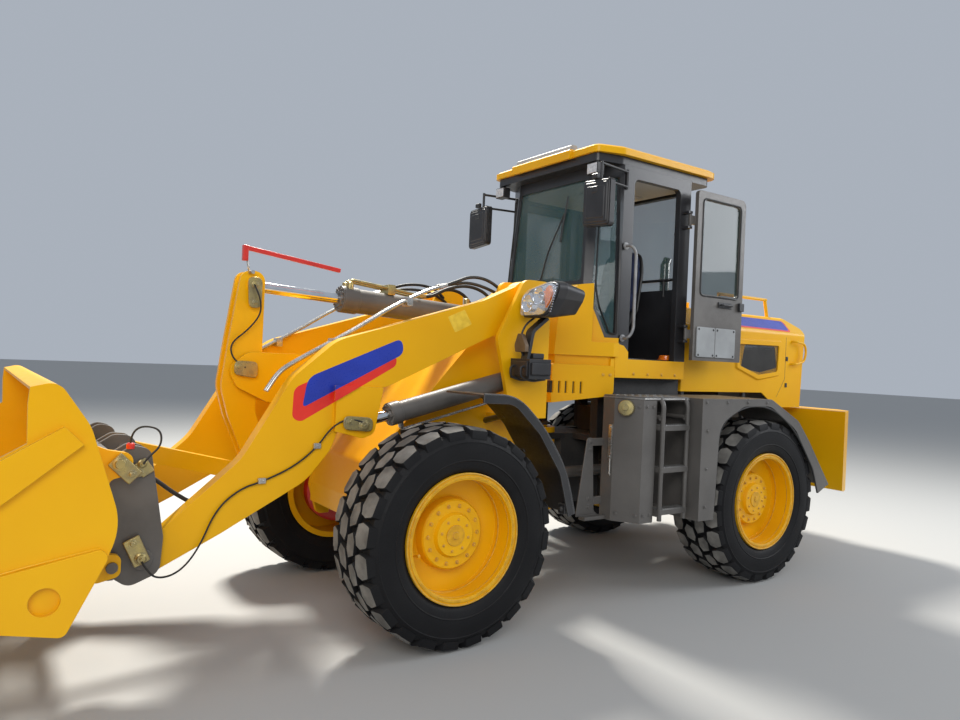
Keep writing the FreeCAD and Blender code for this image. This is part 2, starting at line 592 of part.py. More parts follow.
# Bucket: one bent shell, side plates with raised ears, stiffeners and hanger plates.
SHELL_PATH = [
    (3375.0, 602.0), (2581.0, 419.0, 110.0), (2398.0, 800.0, 260.0), (2520.0, 1195.0, 200.0),
    (2632.0, 1362.0, 60.0), (2722.0, 1340.0)]
SIDE_FRONT = [(2727.0, 1280.0, 30.0), (2724.0, 1136.0), (2804.0, 1088.0), (3230.0, 835.0, 60.0),
    (3372.0, 640.0)]
shell_outline = sheet_path([(p[0], p[1], p[2]) if len(p) > 2 else p for p in SHELL_PATH[::-1]], BUCKET_SHEET)
shell = side_plate(shell_outline, -BUCKET_Y + BUCKET_SIDE, BUCKET_Y - BUCKET_SIDE)
side_outline = SHELL_PATH + SIDE_FRONT
side_sheet = side_plate(side_outline, BUCKET_Y - BUCKET_SIDE, BUCKET_Y)
CHEEK_PLATE = [
    (2585.0, 421.0, 30.0), (2446.0, 700.0, 30.0), (2470.0, 735.0, 30.0), (2700.0, 690.0, 160.0),
    (2960.0, 640.0), (3100.0, 540.0)]
cheek = side_plate(CHEEK_PLATE, BUCKET_Y, BUCKET_Y + STIFFENER)
cheek = cheek.cut(pin_y((2652.0, 562.0), 52.0, BUCKET_Y - 1.0, BUCKET_Y + STIFFENER + 1.0))
BAND_PLATE = [
    (2610.0, 1196.0), (2804.0, 1080.0), (3220.0, 830.0, 40.0), (3368.0, 640.0), (3330.0, 610.0),
    (3160.0, 720.0, 60.0), (2798.0, 923.0), (2545.0, 1130.0)]
band = side_plate(BAND_PLATE, BUCKET_Y, BUCKET_Y + STIFFENER)
bucket_parts = [shell] + both_sides(side_sheet) + both_sides(cheek) + both_sides(band)
HANGER = [
    (2470.0, 1080.0), (2400.0, 1050.0, 40.0), (2296.0, 1030.0, 40.0), (2300.0, 940.0, 40.0),
    (2390.0, 920.0, 30.0),
    (2395.0, 600.0, 30.0), (2330.0, 590.0, 30.0), (2330.0, 500.0, 30.0), (2420.0, 480.0, 30.0),
    (2530.0, 500.0)]
back_cover = side_plate(SHELL_PATH + [(3300.0, 900.0)], -BUCKET_Y, BUCKET_Y)
hanger = side_plate(HANGER, HANGER_Y, HANGER_Y + 35.0)
for place, radius in ((HOOK_PIN, 27.0), (LATCH_PIN, 24.0)):
    hanger = hanger.cut(pin_y(place, radius + 0.3, HANGER_Y - 1.0, HANGER_Y + 36.0))
hanger = hanger.cut(back_cover)
hanger = max(hanger.Solids, key=lambda solid: solid.Volume)
bucket_parts.extend(both_sides(hanger))
bucket = join(bucket_parts)
save("bucket", [bucket])

# Cutting edge: a bevelled plate under the bucket's lip.
floor_way = unit(SHELL_PATH[1], SHELL_PATH[0])
floor_normal = (floor_way[1], -floor_way[0])
EDGE_BACK = 200.0
EDGE_THICK = 22.0
lip = SHELL_PATH[0]
edge_outline = [
    (lip[0] - floor_way[0] * EDGE_BACK, lip[1] - floor_way[1] * EDGE_BACK),
    (lip[0] + floor_way[0] * 30.0, lip[1] + floor_way[1] * 30.0),
    (lip[0] + floor_way[0] * 10.0 + floor_normal[0] * EDGE_THICK,
     lip[1] + floor_way[1] * 10.0 + floor_normal[1] * EDGE_THICK),
    (lip[0] - floor_way[0] * EDGE_BACK + floor_normal[0] * EDGE_THICK,
     lip[1] - floor_way[1] * EDGE_BACK + floor_normal[1] * EDGE_THICK)]
save("cutting_edge", [side_plate(edge_outline, -BUCKET_Y, BUCKET_Y)])

# Rear frame: narrow yoke with two hinge plates, two rails and their cross members.
YOKE_REAR = -1000.0
yoke_plan = [(YOKE_REAR, -150.0), (YOKE_REAR, 150.0), (-645.0, 85.0), (-645.0, -85.0)]
rear_parts = [plan_plate(yoke_plan, 500.0, 1000.0)]
for level in HINGE_LEVELS:
    low = level - HINGE_PLATE / 2.0
    plan = [(-700.0, -90.0), (-700.0, 90.0), (HINGE_X - 10.0, HINGE_LUG_R - 5.0),
            (HINGE_X - 10.0, -HINGE_LUG_R + 5.0)]
    rear_parts.append(plan_plate(plan, low, low + HINGE_PLATE))
    rear_parts.append(pin_z((HINGE_X, 0.0), HINGE_LUG_R, low, low + HINGE_PLATE))
rail_outline = [
    (YOKE_REAR, 500.0), (YOKE_REAR, 1000.0), (-1400.0, 1000.0), (-1500.0, 900.0), (RAIL_REAR, 900.0),
    (RAIL_REAR, 620.0), (-2200.0, 620.0), (-2120.0, AXLE_PAD_TOP), (-1530.0, AXLE_PAD_TOP), (-1440.0, 500.0)]
for low in (RAIL_Y - PLATE, -RAIL_Y):
    rear_parts.append(side_plate(rail_outline, low, low + PLATE))
rear_parts.append(block(YOKE_REAR, YOKE_REAR + 30.0, -RAIL_Y, RAIL_Y, 500.0, 1000.0))
for y in (210.0, -RAIL_Y):
    rear_parts.append(block(-1945.0, -1705.0, y, y + RAIL_Y - 210.0, AXLE_PAD_TOP, AXLE_PAD_TOP + 20.0))
rear_parts.append(block(RAIL_REAR, RAIL_REAR + 30.0, -RAIL_Y, RAIL_Y, 620.0, 900.0))
for side in (1, -1):
    for low in (STEER_Z - 60.0, STEER_Z + 30.0):
        y = STEER_BASE[1] * side
        clevis = [(YOKE_REAR + 10.0, y - 45.0), (STEER_BASE[0] + 22.0, y - 45.0, 30.0),
                  (STEER_BASE[0] + 22.0, y + 45.0, 30.0),
                  (YOKE_REAR + 10.0, y + 45.0)]
        rear_parts.append(plan_plate(clevis, low, low + 30.0))
    rear_parts.append(pin_z((STEER_BASE[0], STEER_BASE[1] * side), 22.0, STEER_Z - 65.0, STEER_Z + 70.0))
for x in (-760.0, -1180.0):
    for y in (RAIL_Y - PLATE, -RAIL_Y):
        post_low = 1000.0 if x < YOKE_REAR else 940.0
        rear_parts.append(block(x - 60.0, x + 20.0, y - 20.0, y + PLATE + 20.0, post_low, CAB_MOUNT_TOP))
rear_parts.append(block(-1000.0, -740.0, -RAIL_Y, RAIL_Y, 960.0, 1000.0))
rear_parts.append(block(-1000.0, -900.0, -590.0, 590.0, 920.0, 980.0))
rear_parts.append(block(-1180.0, -1120.0, -590.0, 590.0, 560.0, 620.0))
HOOD_POST = HOOD_Y - 10.0
rear_carrier = [
    (-HOOD_POST, 900.0), (-HOOD_POST, 1400.0), (30.0 - HOOD_POST, 1400.0), (30.0 - HOOD_POST, 950.0),
    (HOOD_POST - 30.0, 950.0), (HOOD_POST - 30.0, 1400.0), (HOOD_POST, 1400.0), (HOOD_POST, 900.0)]
front_carrier = [
    (-HOOD_POST, 1190.0), (-HOOD_POST, 1400.0), (30.0 - HOOD_POST, 1400.0), (30.0 - HOOD_POST, 1240.0),
    (HOOD_POST - 30.0, 1240.0), (HOOD_POST - 30.0, 1400.0), (HOOD_POST, 1400.0), (HOOD_POST, 1190.0)]
rear_parts.append(cross_plate(rear_carrier, -2195.0, -2165.0))
CARRIER_X = CAB_REAR - 30.0
rear_parts.append(cross_plate(front_carrier, CARRIER_X - 30.0, CARRIER_X))
for y in (RAIL_Y - PLATE, -RAIL_Y):
    rear_parts.append(block(CARRIER_X - 30.0, CARRIER_X, y, y + PLATE, 930.0, 1195.0))
rear_frame = join(rear_parts)
for level in HINGE_LEVELS:
    rear_frame = rear_frame.cut(pin_z((HINGE_X, 0.0), HINGE_PIN_R + PIN_GAP, level - 60.0, level + 60.0))
save("rear_frame", [rear_frame])

# Steering cylinders, one on each side of the frame's hinge
for name, side in (("left", 1), ("right", -1)):
    start = V(STEER_BASE[0], STEER_BASE[1] * side, STEER_Z)
    end = V(STEER_EYE[0], STEER_EYE[1] * side, STEER_Z)
    way = (end - start).normalize()
    barrel = barrel_on(start, way, STEER_BARREL_LENGTH, STEER_BARREL_R, STEER_BORE_R, 60.0, 34.0,
                       22.0, -24.0, 24.0, Z_AXIS)
    rod = rod_on(start, way, 330.0, (end - start).Length, STEER_ROD_R, STEER_BORE_R - 0.5, 32.0,
                 -24.0, 24.0, Z_AXIS)
    save("steer_barrel_" + name, [barrel])
    save("steer_rod_" + name, [rod])

# Engine and gearbox: plain blocks between the rails.
ENGINE_REAR = RAIL_REAR + 140.0
engine = block(ENGINE_REAR, ENGINE_REAR + 650.0, -250.0, 250.0, 780.0, 1500.0)
gearbox = block(-2160.0, -1060.0, -200.0, 200.0, 780.0, 1180.0)
RAIL_INNER = RAIL_Y - PLATE
engine = join([engine] + [block(x, x + 90.0, -RAIL_INNER, RAIL_INNER, 790.0, 850.0) 
                        for x in (ENGINE_REAR + 50.0, ENGINE_REAR + 500.0)])
gearbox_feet = [block(x, x + 90.0, -RAIL_INNER, RAIL_INNER, 800.0, 860.0) for x in (-1400.0, -1250.0)]
gearbox = join([gearbox] + gearbox_feet)
radiator = block(RAIL_REAR + 65.0, RAIL_REAR + 125.0, -RAIL_Y, RAIL_Y, 900.0, 1700.0)
save("engine_block", [engine, gearbox])
save("radiator", [radiator])

# Side tanks in front of the ladders, and the ladders.
TANK_LOW = 510.0
DECK_TOP = 1312.0
DECK_THICK = 22.0
SKIRT_ROOM = SKIRT_REAR[1] + 16.0
tank_plan = [(-512.0, SKIRT_ROOM), (-512.0, 740.0), (-610.0, 900.0), (-730.0, 900.0), (-730.0, 545.0),
    (-640.0, 545.0),
             (-640.0, SKIRT_ROOM)]
tank = plan_plate(tank_plan, TANK_LOW, DECK_TOP - DECK_THICK)
step_wall = block(-1040.0, -729.0, 590.0, 600.0, TANK_LOW + 30.0, DECK_TOP - DECK_THICK)
tank = join([tank, step_wall])
save("side_tanks", both_sides(tank))

LADDER_Y = 925.0
RUNGS = [560.0, 830.0, 1100.0]
ladder_parts = []
for x in (-765.0, -1000.0):
    ladder_parts.append(bar(V(x, LADDER_Y, 520.0), V(x, LADDER_Y, 1205.0), 15.0))
    for z in (1185.0, 555.0):
        ladder_parts.append(bar(V(x, LADDER_Y, z), V(x, 600.0, z), 13.0))
for z in RUNGS:
    ladder_parts.append(block(-1010.0, -755.0, 860.0, 940.0, z, z + 32.0))
save("ladders", both_sides(join(ladder_parts)))

# Rear fenders: the deck over tank and ladder, bent down behind the rear tyre.
FENDER_OUTER = 1014.0
arch_path = [(-1040.0, DECK_TOP), (-1795.0, DECK_TOP, 120.0), (-2143.0, 1150.0, 120.0),
    (-2290.0, 1000.0, 120.0),
             (-2580.0, 660.0)]
arch_sheet = side_plate(sheet_path(arch_path, 12.0), 545.0, FENDER_OUTER)
arch_side_outline = [
    (-1040.0, TANK_LOW), (-1040.0, DECK_TOP - 0.5), (-1795.0, DECK_TOP - 0.5, 120.0),
    (-2143.0, 1149.0, 120.0), (-2290.0, 999.0, 120.0),
    (-2578.0, 661.0), (-2440.0, 600.0), (-2362.0, 790.0, 200.0), (-2110.0, 1090.0, 250.0),
    (-1790.0, 1262.0, 200.0), (-1480.0, 1262.0, 200.0), (-1225.0, 1140.0, 160.0), (-1195.0, TANK_LOW)]
arch_side = side_plate(arch_side_outline, FENDER_OUTER - 14.0, FENDER_OUTER)
front_leg = block(-1052.0, -1040.0, 600.0, FENDER_OUTER, TANK_LOW, DECK_TOP)
deck_plan = [(-512.0, SKIRT_ROOM), (-512.0, 740.0), (-610.0, 900.0), (-1045.0, 900.0), (-1045.0, 545.0),
    (-640.0, 545.0),
             (-640.0, SKIRT_ROOM)]
deck = plan_plate(deck_plan, DECK_TOP - DECK_THICK, DECK_TOP)
fender = join([arch_sheet, arch_side, front_leg, deck])
save("rear_fenders", both_sides(fender))

# Cab base: the yellow pan with its sills, and the nose with a slotted skirt, a dark
# recessed band over it and a cowl that rises to the windscreen.
FLOOR_THICK = 25.0
WALL = 20.0


def nose_plan(inset):
    """Plan of the nose between the two slanted skirt planes."""
    front = (SKIRT_FRONT[0] - inset, SKIRT_FRONT[1] - 0.6 * inset)
    rear = (SKIRT_REAR[0], SKIRT_REAR[1] - 1.15 * inset)
    return [(front[0], -front[1]), front, rear, (rear[0] - 50.0, rear[1]), (rear[0] - 50.0, -rear[1]),
            (rear[0], -rear[1])]


def cab_plan(front, inset, lean):
    """Plan of the cab at one level; lean is (front's, side's) drift of the slanted quarter per inset."""
    side = CAB_Y - inset
    left = [(front[0] - inset, front[1] - lean[0] * inset), (PILLAR_FRONT - lean[1] * inset, side),
            (CAB_REAR + 60.0 + 0.41 * inset, side), (CAB_REAR + inset, CAB_Y - 60.0 - 0.41 * inset)]
    return left + [(x, -y) for x, y in left[::-1]]


def cab_shape(inset, z_low, z_high):
    """Body between the plan at the floor and the narrower one at the roof, cut to two levels."""
    low = outline(cab_plan(SCREEN_LOW, inset, (0.49, 0.34)), lambda p: V(p[0], p[1], CAB_FLOOR))
    high = outline(cab_plan(SCREEN_HIGH, inset, (0.25, 0.6)), lambda p: V(p[0], p[1], CAB_TOP))
    whole = Part.makeLoft([low, high], True, True)
    return whole.common(block(CAB_REAR - 10.0, 0.0, -700.0, 700.0, z_low, z_high))


PILLAR_FOOT = [(PILLAR_FRONT, 1688.0), (-581.0, 1688.0), (-507.0, 1907.0), (-500.0, SCREEN_SILL)]
skirt_side = [(SKIRT_FRONT[0] + 1.0, 1243.0), (SKIRT_FRONT[0] + 1.0, SKIRT_TOP, 12.0),
    (-612.0, SKIRT_TOP, 12.0),
              (-612.0, 1304.0, 40.0)]
skirt = side_plate(skirt_side, -700.0, 700.0).common(plan_plate(nose_plan(0.0), 1200.0, 1600.0))
band = plan_plate(nose_plan(35.0), SKIRT_TOP - 10.0, 1575.0)
cowl_side = [(-262.0, 1562.0), (-284.0, 1945.0, 60.0), (-400.0, 2032.0, 60.0)] + [
    (x, z) for x, z in PILLAR_FOOT[::-1]] + [(PILLAR_FRONT, 1562.0)]
cowl = side_plate(cowl_side, -700.0, 700.0).common(plan_plate(nose_plan(8.0), 1500.0, 2100.0))
SHELF_X = -478.0
for side in (1, -1):
    recess = [(SHELF_X, 470.0 * side), (SHELF_X, 700.0 * side), (-700.0, 700.0 * side),
    (-700.0, 608.0 * side),
              (PILLAR_FRONT, 608.0 * side)]
    cowl = cowl.cut(plan_plate(recess, 1655.0, 2100.0))
pan = plan_plate([(-600.0, -CAB_Y), (-600.0, CAB_Y), (CAB_REAR + 60.0, CAB_Y), (CAB_REAR, CAB_Y - 60.0),
                  (CAB_REAR, 60.0 - CAB_Y), (CAB_REAR + 60.0, -CAB_Y)], CAB_MOUNT_TOP, CAB_FLOOR)
foot_outline = [(-640.0, CAB_MOUNT_TOP), (-632.0, 1654.0, 20.0), (-712.0, 1640.0, 20.0),
    (PILLAR_REAR, 1600.0),
                (-762.0, CAB_MOUNT_TOP)]
foot = side_plate(foot_outline, CAB_Y - 60.0, CAB_Y + 3.0)
cab_base = join([skirt, band, cowl, pan] + both_sides(foot))
footwell = [(-315.0, -400.0), (-315.0, 400.0), (-470.0, 425.0), (-470.0, -425.0)]
cabin = [(-469.0, -425.0), (-469.0, 425.0), (PILLAR_FRONT, 555.0), (CAB_REAR + FRAME_WALL, 555.0),
         (CAB_REAR + FRAME_WALL, -555.0), (PILLAR_FRONT, -555.0)]
cab_base = cab_base.cut(plan_plate(footwell, CAB_FLOOR, 1915.0)).cut(plan_plate(cabin, CAB_FLOOR, 2200.0))
under_pan = [(-315.0, -400.0), (-315.0, 400.0), (-600.0, 560.0), (CAB_REAR + 80.0, 560.0),
             (CAB_REAR + 80.0, -560.0), (-600.0, -560.0)]
cab_base = cab_base.cut(plan_plate(under_pan, 1200.0, CAB_FLOOR - FLOOR_THICK))
for x in (-760.0, -1180.0):
    cross_beam = block(x - 60.0, x + 20.0, -RAIL_Y - 20.0, RAIL_Y + 20.0, CAB_MOUNT_TOP, CAB_FLOOR - 5.0)
    cab_base = cab_base.fuse(cross_beam)
cab_base = cab_base.removeSplitter()
SLOT_X = (-254.0, -295.0, -334.0, -378.0, -421.0)
for slot_x in SLOT_X:
    cab_base = cab_base.cut(block(slot_x - 7.0, slot_x + 7.0, -600.0, 600.0, 1310.0, 1388.0))
save("cab_base", [cab_base])

# Cab frame: pillars and rails as one cage, with its windows cut.
WINDOW_TOP = CAB_TOP - 80.0
SILL_GAP = 29.0
PILLAR = 15.0
cage_side = [(-380.0, SCREEN_SILL), (-380.0, CAB_TOP), (CAB_REAR, CAB_TOP), (CAB_REAR, CAB_FLOOR),
             (PILLAR_FRONT, CAB_FLOOR), (PILLAR_FRONT, 1655.0)] + PILLAR_FOOT[1:]
cage = cab_shape(0.0, CAB_FLOOR, CAB_TOP).common(side_plate(cage_side, -700.0, 700.0))
cage = cage.cut(cab_shape(FRAME_WALL, CAB_FLOOR - 10.0, CAB_TOP - FRAME_WALL))
door_window = [(PILLAR_REAR, CAB_FLOOR - 10.0), (PILLAR_REAR, WINDOW_TOP, 40.0),
    (REAR_POST_X, WINDOW_TOP, 40.0),
               (REAR_POST_X, CAB_FLOOR - 10.0)]
quarter_window = [(PILLAR_FRONT + PILLAR, 1712.0), (-596.0, 1712.0, 15.0), (-536.0, 1915.0),
    (-530.0, SCREEN_SILL),
                  (-572.0, WINDOW_TOP), (PILLAR_FRONT + PILLAR, WINDOW_TOP)]
front_window = [(-392.0, SCREEN_SILL + SILL_GAP, 30.0), (392.0, SCREEN_SILL + SILL_GAP, 30.0),
    (360.0, WINDOW_TOP, 30.0),
                (-360.0, WINDOW_TOP, 30.0)]
rear_window = [(-480.0, 2080.0, 40.0), (480.0, 2080.0, 40.0), (480.0, WINDOW_TOP, 40.0),
    (-480.0, WINDOW_TOP, 40.0)]
front_cut = cross_plate(front_window, -640.0, -380.0)
rear_cut = cross_plate(rear_window, CAB_REAR - 20.0, CAB_REAR + 100.0)
quarter_cut = side_plate(quarter_window, -CAB_Y - 10.0, CAB_Y + 10.0)
cage = cage.cut(side_plate(door_window, -CAB_Y - 10.0, CAB_Y + 10.0))
below_sill = block(-560.0, -380.0, -400.0, 400.0, CAB_FLOOR - 10.0, SCREEN_SILL)
beside_feet = block(PILLAR_REAR - 10.0, -560.0, -556.0, 556.0, CAB_FLOOR - 10.0, 1690.0)
for window in (quarter_cut, front_cut, rear_cut, below_sill, beside_feet):
    cage = cage.cut(window)
cab_frame = cage.cut(cab_base)
cab_frame = max(cab_frame.Solids, key=lambda solid: solid.Volume)
save("cab_frame", [cab_frame])

# Cab glass: windscreen, quarter panes and rear pane, each set in its window.
PANE_DEPTH = 14.0
inside_glass = cab_shape(PANE_DEPTH + GLASS, CAB_FLOOR - 10.0, CAB_TOP + 10.0)
glass_wall = cab_shape(PANE_DEPTH, CAB_FLOOR, CAB_TOP).cut(inside_glass)
panes = []
for window in (front_cut, rear_cut, quarter_cut):
    panes.extend(glass_wall.common(window).Solids)
save("cab_glass", panes)

# Roof: a yellow cap with a raised middle over a dark liner, the lamp bar on its middle and
# a work lamp under each front corner.
LINER_TOP = CAB_TOP + ROOF_LINER
ROOF_TOP = LINER_TOP + ROOF_CAP
ROOF_Y = 630.0
ROOF_REAR = CAB_REAR - 200.0
ROOF_FRONT = -425.0
ROOF_LID_Y = 320.0
LAMP_BAR_HIGH = 42.0
liner_plan = [(ROOF_FRONT - 20.0, -545.0, 40.0), (ROOF_FRONT - 20.0, 545.0, 40.0),
    (-640.0, ROOF_Y - 38.0, 60.0),
              (ROOF_REAR + 40.0, ROOF_Y - 38.0, 60.0), (ROOF_REAR + 40.0, 38.0 - ROOF_Y, 60.0),
              (-640.0, 38.0 - ROOF_Y, 60.0)]
save("roof_liner", [plan_plate(liner_plan, CAB_TOP, LINER_TOP)])


def roof_plan(inset):
    """Plan of the roof's cap, drawn in by an inset."""
    front = ROOF_FRONT - inset
    rear = ROOF_REAR + inset
    side = ROOF_Y - inset
    return [(front, -565.0 + inset, 50.0), (front, 565.0 - inset, 50.0), (-620.0, side, 60.0),
    (rear, side, 80.0),
            (rear, -side, 80.0), (-620.0, -side, 60.0)]


cap_rim = plan_plate(roof_plan(0.0), LINER_TOP, ROOF_TOP - 15.0)
cap_low = outline(roof_plan(0.0), lambda p: V(p[0], p[1], ROOF_TOP - 15.0))
cap_high = outline(roof_plan(22.0), lambda p: V(p[0], p[1], ROOF_TOP))
lid = side_plate([(ROOF_FRONT + 22.0, LINER_TOP - 8.0), (ROOF_FRONT + 22.0, ROOF_TOP + 2.0, 15.0),
    (-760.0, ROOF_TOP + 8.0, 15.0),
                  (-800.0, LINER_TOP), (ROOF_FRONT, LINER_TOP),
                  (ROOF_FRONT, LINER_TOP - 8.0)], -ROOF_LID_Y, ROOF_LID_Y)
cab_roof = join([cap_rim, Part.makeLoft([cap_low, cap_high], True, True), lid])
save("cab_roof", [cab_roof])
lamp_bar = side_plate([(-500.0, ROOF_TOP - 5.0), (-488.0, ROOF_TOP + LAMP_BAR_HIGH, 12.0),
                       (-436.0, ROOF_TOP + LAMP_BAR_HIGH, 12.0),
                       (-424.0, ROOF_TOP - 5.0)], 20.0 - ROOF_LID_Y, ROOF_LID_Y - 20.0)
save("roof_lamp_bar", [lamp_bar.cut(cab_roof)])
work_lamp = block(-500.0, -440.0, 462.0, 562.0, CAB_TOP - 88.0, CAB_TOP - 12.0)
lamp_stem = block(-485.0, -460.0, 500.0, 524.0, CAB_TOP - 20.0, CAB_TOP)
save("roof_lamps", both_sides(join([work_lamp, lamp_stem])))

# Doors: frame with a window and a low panel; the left one stands folded back.
DOOR_X = DOOR_HINGE[0] + 30.0
DOOR_EDGE = 60.0
door_outline = [(DOOR_X, DOOR_LOW), (DOOR_X, DOOR_HIGH, 30.0), (DOOR_X + DOOR_WIDTH, DOOR_HIGH, 50.0),
                (DOOR_X + DOOR_WIDTH, DOOR_LOW)]
pane_outline = [(DOOR_X + DOOR_EDGE, 2040.0, 30.0), (DOOR_X + DOOR_EDGE, DOOR_HIGH - DOOR_EDGE, 40.0),
                (DOOR_X + DOOR_WIDTH - DOOR_EDGE, DOOR_HIGH - DOOR_EDGE, 40.0),
                (DOOR_X + DOOR_WIDTH - DOOR_EDGE, 2040.0, 30.0)]
DOOR_Y = CAB_Y + SIDE_GAP
HINGE_PIN_RADIUS = 7.0
HINGE_HALF = 62.0
door = side_plate(door_outline, DOOR_Y, DOOR_Y + DOOR_THICK)
door = door.cut(side_plate(pane_outline, DOOR_Y - 5.0, DOOR_Y + DOOR_THICK + 5.0))
for z in HINGE_HEIGHTS:
    knuckle = pin_z(DOOR_HINGE, 12.0, z - 40.0, z + 40.0)
    leaf = block(DOOR_HINGE[0], DOOR_X + 40.0, DOOR_Y + DOOR_THICK - 4.0, DOOR_HINGE[1] + 4.0,
                 z - 30.0, z + 30.0)
    door = join([door, knuckle, leaf])
    door = door.cut(pin_z(DOOR_HINGE, HINGE_PIN_RADIUS + PIN_GAP, z - 60.0, z + 60.0))
pane = side_plate(pane_outline, DOOR_Y + 10.0, DOOR_Y + 10.0 + GLASS)
left_door = door.copy()
left_pane = pane.copy()
for shape in (left_door, left_pane):
    shape.rotate(V(DOOR_HINGE[0], DOOR_HINGE[1], 0), V(0, 0, 1), 180.0)
save("door_left", [left_door])
save("door_left_glass", [left_pane])
save("door_right", [mirrored(door)])
save("door_right_glass", [mirrored(pane)])

# Door hinges on the rear pillars
hinges = []
for z in HINGE_HEIGHTS:
    pin = pin_z(DOOR_HINGE, HINGE_PIN_RADIUS, z - HINGE_HALF, z + HINGE_HALF)
    ends = [block(DOOR_HINGE[0] - 12.0, DOOR_HINGE[0] + 30.0, CAB_Y, DOOR_HINGE[1] + 10.0, low, low + 17.0)
            for low in (z - HINGE_HALF, z + HINGE_HALF - 17.0)]
    hinges.extend(both_sides(join([pin] + ends)))
save("door_hinges", hinges)

# Seat, steering column and dash inside the cab.
SEAT_X = -760.0
cushion = side_plate([(SEAT_X, 1790.0, 40.0), (SEAT_X + 10.0, 1900.0, 40.0), (SEAT_X - 420.0, 1885.0),
                      (SEAT_X - 420.0, 1790.0)], -240.0, 240.0)
back = side_plate([(SEAT_X - 380.0, 1870.0, 40.0), (SEAT_X - 450.0, 2420.0, 40.0),
    (SEAT_X - 545.0, 2410.0, 40.0),
                   (SEAT_X - 500.0, 1840.0, 40.0)], -230.0, 230.0)
base = block(SEAT_X - 410.0, SEAT_X - 60.0, -190.0, 190.0, CAB_FLOOR, 1795.0)
save("seat", [join([cushion, back, base])])
WHEEL_TILT = 19.9
WHEEL_RING = 185.0
wheel_centre = V(-705.0, 0.0, 2035.0)
wheel_way = V(-math.sin(math.radians(WHEEL_TILT)), 0.0, math.cos(math.radians(WHEEL_TILT)))
column_foot = V(-530.0, 0.0, CAB_FLOOR + 17.0)
column = bar(column_foot, wheel_centre - wheel_way * 26.0, 45.0)
RING_EDGE = 15.0
EIGHTH = math.pi / 4.0
ring_corners = [(WHEEL_RING + RING_EDGE * math.cos(turn * EIGHTH), RING_EDGE * math.sin(turn * EIGHTH))
                for turn in range(8)]
ring_wire = outline(ring_corners, lambda p: V(p[0], 0, p[1]))
ring = Part.Face(ring_wire).revolve(V(0, 0, 0), V(0, 0, 1), 360)
ring.rotate(V(0, 0, 0), V(0, -1, 0), WHEEL_TILT)
ring.translate(wheel_centre)
hub = Part.makeCylinder(50.0, 40.0, wheel_centre - wheel_way * 28.0, wheel_way)
spokes = []
for turn in (90.0, 210.0, 330.0):
    spoke = bar(V(0, 0, 0), V(WHEEL_RING, 0, 0), 10.0)
    spoke.rotate(V(0, 0, 0), V(0, 0, 1), turn)
    spoke.rotate(V(0, 0, 0), V(0, -1, 0), WHEEL_TILT)
    spoke.translate(wheel_centre)
    spokes.append(spoke)
dash = side_plate([(-500.0, 1800.0), (-508.0, 1995.0, 30.0), (-590.0, 1990.0, 30.0),
    (-640.0, 1800.0)], -260.0, 260.0)
foot = block(column_foot.x - 60.0, column_foot.x + 60.0, -70.0, 70.0, CAB_FLOOR, CAB_FLOOR + 30.0)
save("steering_column", [join([column, hub, ring, dash, foot] + spokes)])

# Hood: an eight-sided shell with mesh windows and a rear opening.
HOOD_TOP = 1966.0
hood_side = [
    (CAB_REAR - 10.0, 1335.0), (CAB_REAR - 10.0, HOOD_TOP), (-2769.0, HOOD_TOP, 120.0),
    (HOOD_REAR, 1877.0, 60.0),
    (HOOD_REAR + 22.0, 1576.0, 80.0), (-2943.0, 1215.0), (-2600.0, 1215.0), (-2400.0, 1335.0)]
hood_section = [(-HOOD_Y, 1100.0), (-HOOD_Y, 1830.0, 50.0), (-HOOD_Y + 90.0, HOOD_TOP, 40.0),
                (HOOD_Y - 90.0, HOOD_TOP, 40.0), (HOOD_Y, 1830.0, 50.0), (HOOD_Y, 1100.0)]
SHEET = 10.0
hood = side_plate(hood_side, -700.0, 700.0).common(cross_plate(hood_section, -3200.0, -1200.0))
hollow_side = [
    (CAB_REAR - 10.0 - SHEET, 1000.0), (CAB_REAR - 10.0 - SHEET, HOOD_TOP - SHEET),
    (-2765.0, HOOD_TOP - SHEET, 110.0),
    (HOOD_REAR + SHEET, 1870.0, 50.0), (HOOD_REAR + 22.0 + SHEET, 1576.0, 80.0), (-2943.0 + SHEET, 1215.0),
    (-2943.0 + SHEET, 1000.0)]
hollow_section = [(-HOOD_Y + SHEET, 900.0), (-HOOD_Y + SHEET, 1826.0, 40.0),
    (-HOOD_Y + 95.0, HOOD_TOP - SHEET, 30.0),
                  (HOOD_Y - 95.0, HOOD_TOP - SHEET, 30.0), (HOOD_Y - SHEET, 1826.0, 40.0),
                  (HOOD_Y - SHEET, 900.0)]
hood = hood.cut(side_plate(hollow_side, -700.0, 700.0).common(cross_plate(hollow_section, -3200.0, -1200.0)))
side_window = [(-2111.0, 1524.0, 25.0), (-2153.0, 1718.0, 25.0), (-2557.0, 1716.0, 25.0),
    (-2590.0, 1540.0, 25.0),
               (-2367.0, 1498.0, 40.0)]
hood = hood.cut(side_plate(side_window, -700.0, 700.0))
hood = hood.cut(block(-3100.0, -2900.0, -320.0, 320.0, 1300.0, 1780.0))
save("engine_hood", [hood])
grille_window = side_plate(side_window, HOOD_Y - SHEET + 2.0, HOOD_Y - 2.0)
rear_grille = cross_plate([(-330.0, 1290.0), (-330.0, 1790.0), (330.0, 1790.0),
    (330.0, 1290.0)], -2945.0, -2939.0)
save("hood_grilles", both_sides(grille_window))

